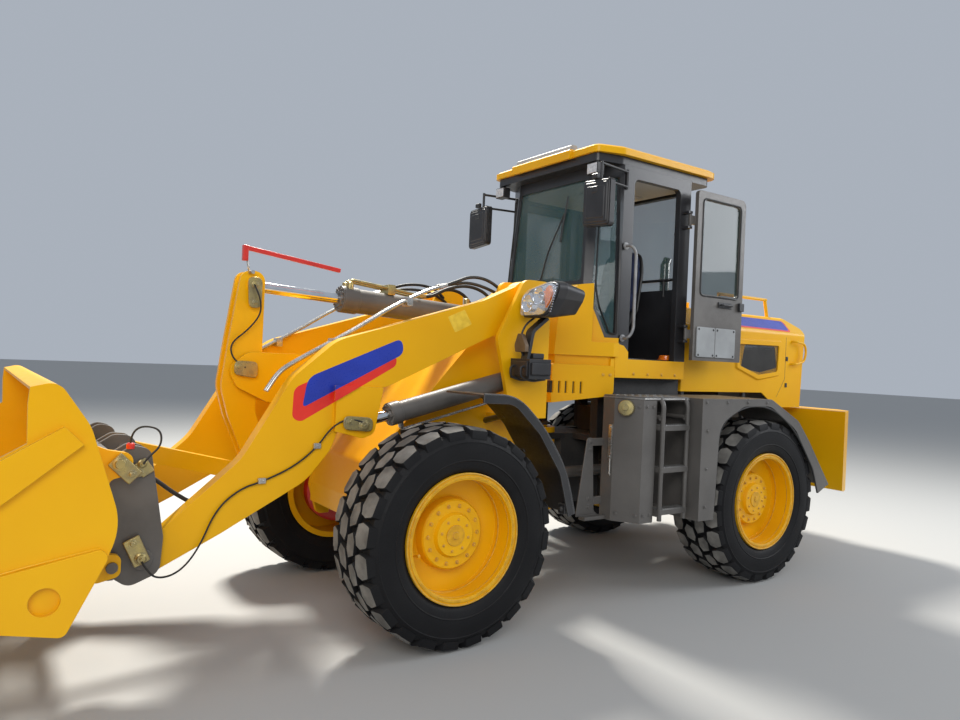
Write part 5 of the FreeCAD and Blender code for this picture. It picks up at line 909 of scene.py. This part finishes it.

# Step bracket ahead of each tank: a plate on two pairs of screws that ends in a low tread. Dark
# aprons fill the gap under the cab's pan: painted shade there, with the black mounts in it.
post_parts = [slab([(-0.300, 0.532, 0.004), (-0.300, 0.560, 0.01), (-0.372, 1.035, 0.02), (-0.418, 1.035, 0.02),
                    (-0.452, 0.560, 0.01), (-0.492, 0.532, 0.004)], 0.642, 0.652, side_on, 0.002),
              brick(-0.505, -0.330, 0.642, 0.700, 0.512, 0.536, 0.004),
              brick(-0.520, -0.400, 0.630, 0.650, 0.980, 1.030), brick(-0.520, -0.400, 0.630, 0.650, 0.600, 0.650)]
post_parts += bolt_heads([(-0.400, 0.6515, z) for z in (1.010, 0.958, 0.645, 0.590)], ACROSS, 0.011, 0.010)
piece("step_brackets", both_sides(post_parts), taupe, "rear_frame")
# Black sheets in the gap under the pan: painted shade, with the black mounts.
shade_apron_parts = [brick(-1.390, -0.640, 0.500, 0.508, 1.300, 1.470, 0.002),
               brick(-1.390, -0.640, 0.480, 0.506, 1.3125, 1.325, 0.002)]
piece("pan_shade_aprons", both_sides(shade_apron_parts), frame_black, "rear_frame")

# Cab base: the yellow pan and nose of folded sheet, its lower skirt punched with five slots.
# The band over the skirt is recessed, and screws hold the skirt's ends.
dress(yellow, "cab_base")
skirt_screws = []
for x, y in ((-0.585, 0.612), (-0.545, 0.589)):
    skirt_screws += bolt_heads([(x, y + 0.0005, 1.44)], (0.5, 0.86, 0), 0.007, 0.007)
for x in (-0.82, -0.96, -1.10, -1.24):
    skirt_screws += bolt_heads([(x, 0.6005, 1.452)], ACROSS, 0.007, 0.007)
# Black blocks behind the five slots: painted shade in the hollow seen through them.
slot_shade_parts = []
for x in (-0.254, -0.295, -0.334, -0.378, -0.421):
    face = 0.432 + (-0.275 - x) * 0.576
    slot_shade_parts.append(brick(x - 0.0069, x + 0.0069, face - 0.050, face - 0.009, 1.3105, 1.3875, 0.001))
piece("skirt_slot_shade", both_sides(slot_shade_parts), frame_black, "rear_frame")
piece("pan_screws", both_sides(skirt_screws), screw, "rear_frame")

# Cab frame: black-painted pillars and rails round tinted panes, sealed with black rubber. A pale
# liner closes the roof inside.
cab_black = finish("cab_black", (0.024, 0.024, 0.027), (0.015, 0.015, 0.017), rough=(0.3, 0.45), patch=4.0,
                   grain=90.0, bump=0.0004, coat=0.15, edge=(0.07, 0.07, 0.075), dust=0.1)
dress(cab_black, "cab_frame", "roof_liner", "door_hinges")
window_glass = glazing("window_glass", (0.045, 0.115, 0.12), 0.42, (0.02, 0.05), (0.16, 0.22, 0.22))
dress(window_glass, "cab_glass")
dress(yellow, "cab_roof")
liner_pale = finish("liner_pale", (0.62, 0.62, 0.58), (0.50, 0.50, 0.47), rough=(0.6, 0.8), patch=3.0, grain=220.0,
                    bump=0.0004)
liner = slab([(-0.600, -0.33, 0.05), (-0.600, 0.33, 0.05), (-0.72, 0.530, 0.05), (-1.335, 0.535, 0.05),
              (-1.335, -0.535, 0.05), (-0.72, -0.530, 0.05)], 2.7855, 2.8045, plan_on, 0.006)
dome = lathe([(0, 0), (0, 0.075), (-0.010, 0.074), (-0.022, 0.045), (-0.024, 0)], (-0.90, 0, 2.786), UP, 36)
hatch = slab([(-1.02, -0.20, 0.03), (-1.02, 0.20, 0.03), (-1.28, 0.20, 0.03), (-1.28, -0.20, 0.03)], 2.774, 2.787,
             plan_on, 0.004)
piece("cab_liner", [liner, dome, hatch], liner_pale, "rear_frame")


def seal(corners, width, radius=0.04):
    """Rubber seal: a tube along a closed loop of rounded corners, its last point on its first."""
    spot = np.array(corners, float)
    middle = (spot[0] + spot[-1]) / 2.0
    loop = bend(np.concatenate([[middle], spot, [middle]]), radius, 6)
    return tube(loop, width, 8)


seal_parts = []
for side in (1, -1):
    seal_parts.append(seal([(-0.6415, 0.6005 * side, 1.716), (-0.599, 0.576 * side, 1.716),
                            (-0.5395, 0.520 * side, 1.915), (-0.5355, 0.490 * side, 2.046),
                            (-0.5755, 0.463 * side, 2.766), (-0.6415, 0.572 * side, 2.766)], 0.0055, 0.02))
piece("pane_seals", seal_parts, hose_black, "rear_frame")
wiper_parts = [tube(bend([(-0.498, -0.05, 2.085), (-0.505, 0.02, 2.30), (-0.522, 0.16, 2.56)], 0.05), 0.006, 8),
               tube([(-0.515, 0.135, 2.36), (-0.527, 0.185, 2.68)], 0.0065, 8),
               lathe([(0, 0), (0, 0.020), (0.020, 0.018), (0.024, 0.006), (0.024, 0)], (-0.500, -0.05, 2.085),
                     FORWARD, 20)]
piece("screen_wiper", wiper_parts, pod_plastic, "rear_frame")

# Roof lamps: a long grey lamp on the roof's lid and small work lamps under its front corners,
# each with a pale lens in a black housing.
bar_grey = finish("lamp_bar_grey", (0.30, 0.30, 0.29), (0.20, 0.20, 0.20), rough=(0.35, 0.5), patch=8.0, grain=160.0,
                  bump=0.0004, edge=(0.45, 0.45, 0.44), dust=0.2)
dress(bar_grey, "roof_lamp_bar")
dress(pod_plastic, "roof_lamps")
pale_lens = finish("pale_lens", (0.66, 0.68, 0.70), (0.46, 0.48, 0.52), rough=(0.08, 0.2), patch=60.0, grain=200.0,
                   bump=0.0004, coat=0.5)
lens_parts = [brick(-0.4405, -0.4345, 0.468, 0.556, 2.768, 2.832, 0.002, 0.004)]
piece("work_lamp_lenses", both_sides(lens_parts), pale_lens, "rear_frame")

# Doors: dark-grey frames with tinted upper panes, light inner panels and black latches. The
# left one is folded back flat along the cab; both hang on two pinned hinges.
dress(grey, "door_left", "door_right")
door_glass = glazing("door_glass", (0.03, 0.055, 0.05), 0.55, (0.02, 0.05), (0.10, 0.13, 0.12))
dress(door_glass, "door_left_glass", "door_right_glass")
panel_grey = finish("inner_panel", (0.34, 0.355, 0.36), (0.27, 0.28, 0.285), rough=(0.4, 0.6), patch=5.0, grain=260.0,
                    bump=0.0003, edge=(0.46, 0.46, 0.46))
OPEN_FACE = 0.695
trim = [slab(oblong(x, x + wide, 1.590, 1.806, 0.012), OPEN_FACE - 0.0005, OPEN_FACE + 0.010, side_on, 0.003)
        for x, wide in ((-1.772, 0.232), (-1.535, 0.200))]
piece("door_left_trim", trim, panel_grey, "door_left")
latch_parts = [brick(-1.845, -1.795, OPEN_FACE - 0.001, OPEN_FACE + 0.022, 1.945, 2.005, 0.004),
               brick(-1.715, -1.565, OPEN_FACE - 0.001, OPEN_FACE + 0.008, 1.955, 1.997, 0.003),
               tube(bend([(-1.700, OPEN_FACE, 1.976), (-1.700, OPEN_FACE + 0.034, 1.976),
                          (-1.580, OPEN_FACE + 0.034, 1.976), (-1.580, OPEN_FACE, 1.976)], 0.012), 0.007)]
for x in (-1.750, -1.560, -1.515, -1.355):
    latch_parts += bolt_heads([(x, OPEN_FACE + 0.0095, z) for z in (1.606, 1.790)], ACROSS, 0.0055, 0.005)
frame_line = [(-1.795, 2.030), (-1.795, 2.722), (-1.360, 2.722), (-1.360, 2.030)]
latch_parts.append(seal([(x, OPEN_FACE + 0.001, z) for x, z in frame_line], 0.006))
piece("door_left_latch", latch_parts, pod_plastic, "door_left")
pane_line = [(-1.190, 2.030), (-1.190, 2.722), (-0.755, 2.722), (-0.755, 2.030)]
grip_line = [(-0.79, -0.661, 1.98), (-0.79, -0.690, 1.98), (-0.90, -0.690, 1.98), (-0.90, -0.661, 1.98)]
right_parts = [seal([(x, -0.6055, z) for x, z in pane_line], 0.005),
               brick(-0.760, -0.715, -0.682, -0.661, 1.93, 2.00, 0.004), tube(bend(grip_line, 0.02), 0.008)]
piece("door_right_latch", right_parts, pod_plastic, "door_right")

# Seat: crowned cushions in navy cloth with sewn channels and a piped edge, on a black folding
# base with a bellows. Both cushions are blown up as cloth and held within a small swelling.
navy = finish("navy_cloth", (0.030, 0.045, 0.115), (0.018, 0.026, 0.070), rough=(0.75, 0.95), patch=9.0, grain=420.0,
              bump=0.0010)
piping = finish("seat_piping", (0.05, 0.05, 0.055), (0.03, 0.03, 0.033), rough=(0.5, 0.7), patch=20.0, grain=300.0,
                bump=0.0003)


def corners_of(mesh, what="co"):
    """The mesh's corner places, or another of its three-part measures, as an array of rows."""
    table = np.zeros(len(mesh.vertices) * 3)
    mesh.vertices.foreach_get(what, table)
    return table.reshape(-1, 3)


def cushion(name, part, cap, seams, channels, width, depth):
    """Padded form: the shell is remeshed by voxels and swells for twenty frames under cloth pressure, each point
    going no farther than the cap; sewn channels then sink by depth times a bell curve about each channel's
    coordinate, and a piping is laid on the surface's nearest points along each seam."""
    thing = piece(name, [part], navy, "rear_frame")
    remesh = thing.modifiers.new("remesh", "REMESH")
    remesh.mode = "VOXEL"
    remesh.voxel_size = 0.009
    remesh.use_smooth_shade = True
    shell = bpy.data.meshes.new_from_object(thing.evaluated_get(bpy.context.evaluated_depsgraph_get()))
    thing.modifiers.remove(remesh)
    thing.data = shell
    shell.name = name
    if not shell.materials:
        shell.materials.append(navy)
    start = corners_of(shell)
    spot = start
    cloth = thing.modifiers.new("cloth", "CLOTH")
    cloth.settings.quality = 4
    cloth.settings.use_pressure = True
    cloth.settings.uniform_pressure_force = 4.0
    cloth.settings.effector_weights.gravity = 0.0
    cloth.point_cache.frame_start = 1
    cloth.point_cache.frame_end = 20
    for step in range(1, 21):
        bpy.context.scene.frame_set(step)
    blown = bpy.data.meshes.new_from_object(thing.evaluated_get(bpy.context.evaluated_depsgraph_get()))
    spot = corners_of(blown)
    bpy.data.meshes.remove(blown)
    thing.modifiers.remove(cloth)
    bpy.context.scene.frame_set(1)
    move = spot - start
    far = np.linalg.norm(move, axis=1)
    spot = start + move * np.minimum(1.0, cap / np.maximum(far, 1e-9))[:, None]
    outward = corners_of(shell, "normal")
    for axis, level in channels:
        spot -= outward * (depth * np.exp(-((spot[:, axis] - level) / width) ** 2))[:, None]
    shell.vertices.foreach_set("co", spot.ravel())
    shell.update()
    finer = thing.modifiers.new("finer", "SUBSURF")
    finer.levels = finer.render_levels = 1
    cords = []
    for line in seams:
        path = spot[np.linalg.norm(spot[None] - line[:, None], axis=2).argmin(axis=1)]
        for _ in range(6):
            path = (np.roll(path, 1, 0) + path * 2.0 + np.roll(path, -1, 0)) / 4.0
        path = np.concatenate([path, path[:1]])
        cords.append(tube(path, 0.0042, 8))
    piece(name + "_piping", cords, piping, "rear_frame")
    return thing


def reclined(y, z, level):
    """Place on the backrest: it leans back as it rises, and level runs from its rear to its front."""
    return -1.222 - 0.127 * (z - 1.87) + level, y, z


PAD = [(-1.160, -0.215, 0.07), (-0.790, -0.215, 0.08), (-0.790, 0.215, 0.08), (-1.160, 0.215, 0.07)]
pad_line = rounded(PAD, 9)
pad_seam = np.stack([pad_line[:, 0] * 1.06 + 0.058, pad_line[:, 1] * 1.10, np.full(len(pad_line), 1.868)], -1)
seat_pad = cushion("seat_pad", slab(PAD, 1.808, 1.884, plan_on, 0.018, 7), 0.016, [pad_seam],
                   [(1, 0.125), (1, -0.125), (0, -0.98)], 0.012, 0.007)
REST = [(-0.200, 1.905, 0.05), (0.200, 1.905, 0.05), (0.205, 2.250, 0.12), (0.150, 2.400, 0.12),
        (-0.150, 2.400, 0.12), (-0.205, 2.250, 0.12)]
rest_line = rounded(REST, 9)
rest_seam = np.stack(reclined(rest_line[:, 0] * 1.08, (rest_line[:, 1] - 2.15) * 1.04 + 2.15,
                              np.full(len(rest_line), 0.022)), -1)
seat_rest = cushion("seat_rest", slab(REST, -0.034, 0.034, reclined, 0.018, 7), 0.016, [rest_seam],
                    [(1, 0.120), (1, -0.120), (2, 2.245), (2, 2.05)], 0.012, 0.007)
base_parts = [brick(-1.175, -0.800, -0.205, 0.205, 1.788, 1.810, 0.005, 0.03),
              brick(-1.170, -0.820, -0.190, 0.190, 1.550, 1.590, 0.005, 0.02)]
for step in range(6):
    low = 1.588 + step * 0.034
    base_parts.append(brick(-1.150, -0.840, -0.170, 0.170, low, low + 0.0345, 0.015, 0.04))
base_parts.append(slab([(-0.185, 1.890, 0.05), (0.185, 1.890, 0.05), (0.190, 2.250, 0.11), (0.140, 2.385, 0.11),
                        (-0.140, 2.385, 0.11), (-0.190, 2.250, 0.11)], -0.058, -0.040, reclined, 0.006, 7))
for y in (0.150, -0.150):
    base_parts.append(tube(bend([(-1.140, y, 1.800), (-1.235, y, 1.812), (-1.262, y, 1.960)], 0.05), 0.012, 10))
base_parts.append(tube(bend([(-0.87, 0.200, 1.800), (-0.83, 0.235, 1.800), (-0.76, 0.240, 1.790)], 0.02), 0.007, 8))
seat_base = piece("seat_base", base_parts, pod_plastic, "rear_frame")
for thing in (seat_pad, seat_rest, seat_base):
    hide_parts("seat")

# Cab fittings: a black steering column and dash with two bezelled gauges, a console with a control
# lever, a ribbed floor mat, a rear guard bar, a red fire extinguisher and a grey grab handle.
dress(pod_plastic, "steering_column")
cab_parts = [brick(-1.320, -0.660, -0.500, 0.500, 1.5495, 1.556, 0.002)]
for y in np.arange(-0.48, 0.49, 0.04):
    cab_parts.append(brick(-1.310, -0.670, y - 0.008, y + 0.008, 1.5545, 1.560, 0.0015))
cab_parts.append(brick(-1.150, -0.800, -0.430, -0.290, 1.552, 2.020, 0.008, 0.02))
cab_parts.append(tube([(-0.900, -0.360, 2.010), (-0.885, -0.358, 2.130)], 0.007, 10))
cab_parts.append(lathe([(0, 0), (0.004, 0.012), (0.025, 0.021), (0.045, 0.019), (0.060, 0.010), (0.063, 0)],
                       (-0.886, -0.358, 2.118), (0.1, 0, 1), 24))
for y in (0.060, -0.060):
    cab_parts.append(lathe([(0, 0), (0, 0.034), (0.008, 0.034), (0.010, 0.029), (0.004, 0.028), (0.003, 0)],
                           (-0.545, y, 1.9925), (0.0, 0.0, 1), 28))
cab_parts.append(tube([(-1.352, 0.540, 2.155), (-1.352, -0.540, 2.155)], 0.011, 10))
for y in (0.365, -0.365):
    cab_parts.append(tube([(-1.352, y, 2.155), (-1.352, y, 2.030)], 0.010, 10))
piece("cab_fittings", cab_parts, pod_plastic, "rear_frame")
BOTTLE_X, BOTTLE_Y, BOTTLE_R = -1.318, 0.520, 0.0335


def band(foot, height, proud):
    """Ring round the bottle: a flat strip of a height that stands proud of it."""
    outer = BOTTLE_R + proud
    return lathe([(0, outer), (0, BOTTLE_R), (height, BOTTLE_R), (height, outer), (0, outer)],
                 (BOTTLE_X, BOTTLE_Y, foot), UP, 32)


bottle = lathe([(0.0, 0.0), (0.0, 0.030), (0.008, BOTTLE_R), (0.150, BOTTLE_R), (0.176, 0.022), (0.182, 0.013),
                (0.200, 0.013), (0.202, 0.0)], (BOTTLE_X, BOTTLE_Y, 2.400), UP, 32)
valve = [brick(-1.328, -1.308, 0.500, 0.545, 2.596, 2.612), brick(-1.326, -1.310, 0.495, 0.560, 2.618, 2.626, 0.002),
         band(2.470, 0.014, 0.004), brick(-1.362, -1.345, 0.505, 0.535, 2.440, 2.510)]
piece("extinguisher_bottle", [bottle], red, "rear_frame")
piece("extinguisher_sleeves", [band(2.520, 0.034, 0.001), band(2.404, 0.020, 0.001)], label, "rear_frame")
piece("extinguisher_valve", valve, pod_plastic, "rear_frame")
marker = lathe([(0, 0), (0, 0.062), (0.006, 0.062), (0.012, 0.050), (0.030, 0.047), (0.036, 0.040), (0.037, 0)],
               (-1.285, 0.470, 1.558), UP, 32)
piece("floor_marker", [marker], amber, "rear_frame")
handle_path = bend([(-0.685, 0.600, 2.306), (-0.685, 0.665, 2.306), (-0.724, 0.668, 2.262), (-0.727, 0.668, 1.745),
                    (-0.685, 0.665, 1.690), (-0.685, 0.600, 1.690)], 0.045)
handle_parts = [tube(handle_path, 0.0105, 14)]
for z in (2.306, 1.690):
    handle_parts.append(lathe([(0, 0), (0, 0.024), (0.005, 0.024), (0.007, 0.013), (0.007, 0)], (-0.685, 0.6095, z),
                              ACROSS, 24))
grip_grey = finish("grip_grey", (0.30, 0.30, 0.30), (0.20, 0.20, 0.205), rough=(0.3, 0.45), patch=9.0, grain=160.0,
                   bump=0.0003, metal=0.4, edge=(0.45, 0.45, 0.45))
piece("entry_handles", both_sides(handle_parts), grip_grey, "rear_frame")

# Mirrors: black moulded heads with a domed back on a bent tube, their glass facing rearward.
# Two clamps hold each on its stay.
dress(pod_plastic, "mirrors")
HEAD = [(0.537, 2.398, 0.025), (0.537, 2.698, 0.025), (0.782, 2.682, 0.025), (0.782, 2.378, 0.025)]
HEAD_MIDDLE = (0.660, 2.539)
glass_plate = slab(drawn_in(HEAD, 0.93, HEAD_MIDDLE), -0.3915, -0.3945, front_on, 0.001, 6)
dome_parts = [slab(drawn_in(HEAD, share, HEAD_MIDDLE), -0.353, -0.352 + rise, front_on, 0.004, 6)
              for share, rise in ((0.95, 0.008), (0.84, 0.014), (0.68, 0.018))]
mirror_glass = finish("mirror_glass", (0.50, 0.56, 0.60), (0.42, 0.48, 0.52), rough=(0.02, 0.06), patch=20.0,
                      grain=60.0, bump=0.00005, metal=1.0)
piece("mirror_faces", both_sides([glass_plate]), mirror_glass, "rear_frame")
clamp = [brick(-0.352, -0.330, 0.630, 0.680, low, high, 0.004) for low, high in ((2.600, 2.640), (2.690, 2.722))]
piece("mirror_backs", both_sides(dome_parts + clamp), pod_plastic, "rear_frame")

# Hood: yellow sheet in eight facets with mesh windows in raised frames, a seam before its tail, a
# grab handle behind and low yellow rails on top. The blue panel's lower edge is red.
dress(yellow, "engine_hood", "hood_handrails", "counterweight")


def mesh_sheet(name, colour, pitch, open_share):
    """Punched sheet: the product of two sine waves along the Object coordinates is over a limit inside each round
    hole, where the sheet is clear; two noises stain it."""
    stuff = finish(name, colour, tuple(c * 0.6 for c in colour), rough=(0.45, 0.65), patch=6.0, grain=200.0,
                   bump=0.0004)
    place = add(stuff, "TexCoord", {}).outputs["Object"]
    parted = add(stuff, "SeparateXYZ", {"Vector": place}).outputs
    waves = []
    for along, across, sign in (("X", "Z", 1.0), ("Z", "X", -1.0)):
        turned = add(stuff, "Math", {0: parted[across], 1: sign}, operation="MULTIPLY")
        lean = add(stuff, "Math", {0: parted[along], 1: turned.outputs["Value"]}, operation="ADD")
        grow = add(stuff, "Math", {0: lean.outputs["Value"], 1: math.pi / pitch}, operation="MULTIPLY")
        waves.append(add(stuff, "Math", {0: grow.outputs["Value"]}, operation="SINE").outputs["Value"])
    both = add(stuff, "Math", {0: waves[0], 1: waves[1]}, operation="MULTIPLY")
    size = add(stuff, "Math", {0: both.outputs["Value"]}, operation="ABSOLUTE")
    solid = add(stuff, "Math", {0: size.outputs["Value"], 1: open_share}, operation="LESS_THAN")
    feed(stuff.node_tree.nodes["Principled BSDF"].inputs["Alpha"], solid.outputs["Value"])
    return stuff


mesh_black = mesh_sheet("mesh_black", (0.045, 0.043, 0.040), 0.0075, 0.30)
dress(mesh_black, "hood_grilles")
HOOD_FACE = 0.520
WINDOW = [(-2.075, 1.716, 0.012), (-2.600, 1.724, 0.02), (-2.588, 1.510, 0.02), (-2.330, 1.478, 0.02),
          (-2.085, 1.545, 0.012)]
window_sheet = slab(WINDOW, HOOD_FACE - 0.0005, HOOD_FACE + 0.0035, side_on, 0.001)
piece("window_meshes", both_sides([window_sheet]), mesh_black, "rear_frame")


def border(outline, wide, low, high, edge=0.004):
    """Raised frame about a closed outline: four rings of its points, scaled about their middle and joined in a
    loop, give it a sloping flank, a flat top and an inner wall."""
    flat = rounded(outline, 5)
    middle = (flat.max(0) + flat.min(0)) / 2.0
    half = (flat.max(0) - flat.min(0)) / 2.0
    rings = []
    for grow, level in ((0.0, low), (0.0, high), (wide - edge, high), (wide, low)):
        scaled = middle + (flat - middle) * (1.0 + grow / half)
        rings.append(np.stack(side_on(scaled[:, 0], scaled[:, 1], np.full(len(flat), level)), -1))
    return np.concatenate(rings), [net(4, len(flat), close_rows=True)]


frame_ring = border(WINDOW, 0.048, HOOD_FACE - 0.001, HOOD_FACE + 0.013, 0.014)
piece("window_frames", both_sides([frame_ring]), yellow, "rear_frame", 20.0)


def on_slope(x, v, level):
    """Place on the hood's sloping facet: v is the height, and level lifts the point square to the facet."""
    share = (v - 1.830) / 0.136
    return x, HOOD_FACE - 0.090 * share + level * 0.834, v + level * 0.552


sheet_blue = slab([(-2.055, 1.940, 0.01), (-2.735, 1.936, 0.03), (-2.775, 1.858, 0.03), (-2.055, 1.864, 0.01)],
                  -0.0005, 0.0016, on_slope, 0.0004, 9)
sheet_red = slab([(-2.055, 1.940, 0.01), (-2.755, 1.938, 0.03), (-2.796, 1.846, 0.03), (-2.055, 1.852, 0.01)],
                 -0.0008, 0.0009, on_slope, 0.0004, 9)
piece("hood_panel_blue", both_sides([sheet_blue]), blue, "rear_frame")
piece("hood_panel_red", both_sides([sheet_red]), panel_red, "rear_frame")
seam_line = [slab(line, HOOD_FACE - 0.001, HOOD_FACE + 0.0006, side_on, 0.0003, 2)
             for line in ([(-2.714, 1.800), (-2.710, 1.800), (-2.710, 1.451), (-2.714, 1.451)],
                          [(-2.714, 1.453), (-2.710, 1.453), (-2.600, 1.300), (-2.604, 1.300)])]
for z in (1.62, 1.40):
    seam_line.append(brick(-2.742, -2.716, HOOD_FACE - 0.001, HOOD_FACE + 0.006, z - 0.018, z + 0.018, 0.002, 0.004))
piece("hood_seams", both_sides(seam_line), pod_plastic, "rear_frame")
grab = tube(bend([(-2.792, 0.512, 1.768), (-2.805, 0.556, 1.768), (-2.925, 0.560, 1.752), (-2.948, 0.560, 1.678),
                  (-2.920, 0.560, 1.602), (-2.798, 0.556, 1.578), (-2.785, 0.512, 1.578)], 0.040), 0.0095, 12)
piece("tail_grabs", both_sides([grab]), yellow, "rear_frame")
slats = [brick(-2.9445, -2.9345, -0.316, 0.316, z, z + 0.012, 0.002) for z in np.arange(1.31, 1.775, 0.036)]
slats += [brick(-2.949, -2.934, y - 0.008, y + 0.008, 1.300, 1.782, 0.002) for y in (-0.312, -0.104, 0.104, 0.312)]
piece("tail_slats", slats, pod_plastic, "rear_frame")
tail_lamp = brick(-2.992, -2.955, 0.385, 0.465, 1.560, 1.660, 0.004, 0.006)
piece("tail_lamps", both_sides([tail_lamp]), red, "rear_frame")

# Exhaust: a bright bent stack of stainless pipe with a slanted mouth. A clamp and a collar hold
# it where it leaves the hood.
bright_steel = finish("stack_steel", (0.80, 0.80, 0.79), (0.58, 0.57, 0.55), rough=(0.10, 0.28), patch=16.0,
                      grain=70.0, bump=0.0003, metal=1.0)
dress(bright_steel, "exhaust_pipe")
clamp_parts = [lathe([(0, 0.0378), (0.002, 0.0415), (0.018, 0.0415), (0.020, 0.0378), (0, 0.0378)],
                     (-1.500, 0.240, 2.040), UP, 40),
               lathe([(0, 0.0378), (0, 0.062), (0.004, 0.062), (0.006, 0.0378), (0, 0.0378)], (-1.500, 0.240, 1.9665),
                     UP, 40)]
piece("stack_clamp", clamp_parts, bright_steel, "rear_frame")

# Counterweight: a cast tail painted with the hood. A plain steel pin with a ring stands in the
# tow slot's bore.
tow_pin = [lathe([(0, 0), (0, 0.019), (0.33, 0.019), (0.335, 0.030), (0.350, 0.030), (0.355, 0.024), (0.355, 0)],
                 (-3.300, 0.0, 0.545), UP, 28),
           tube(bend([(-3.300, y, z) for y, z in ((-0.022, 0.895), (-0.022, 0.935), (0.022, 0.935), (0.022, 0.895))],
                     0.02), 0.005, 10)]
piece("tow_pin", tow_pin, pipe_steel, "rear_frame")
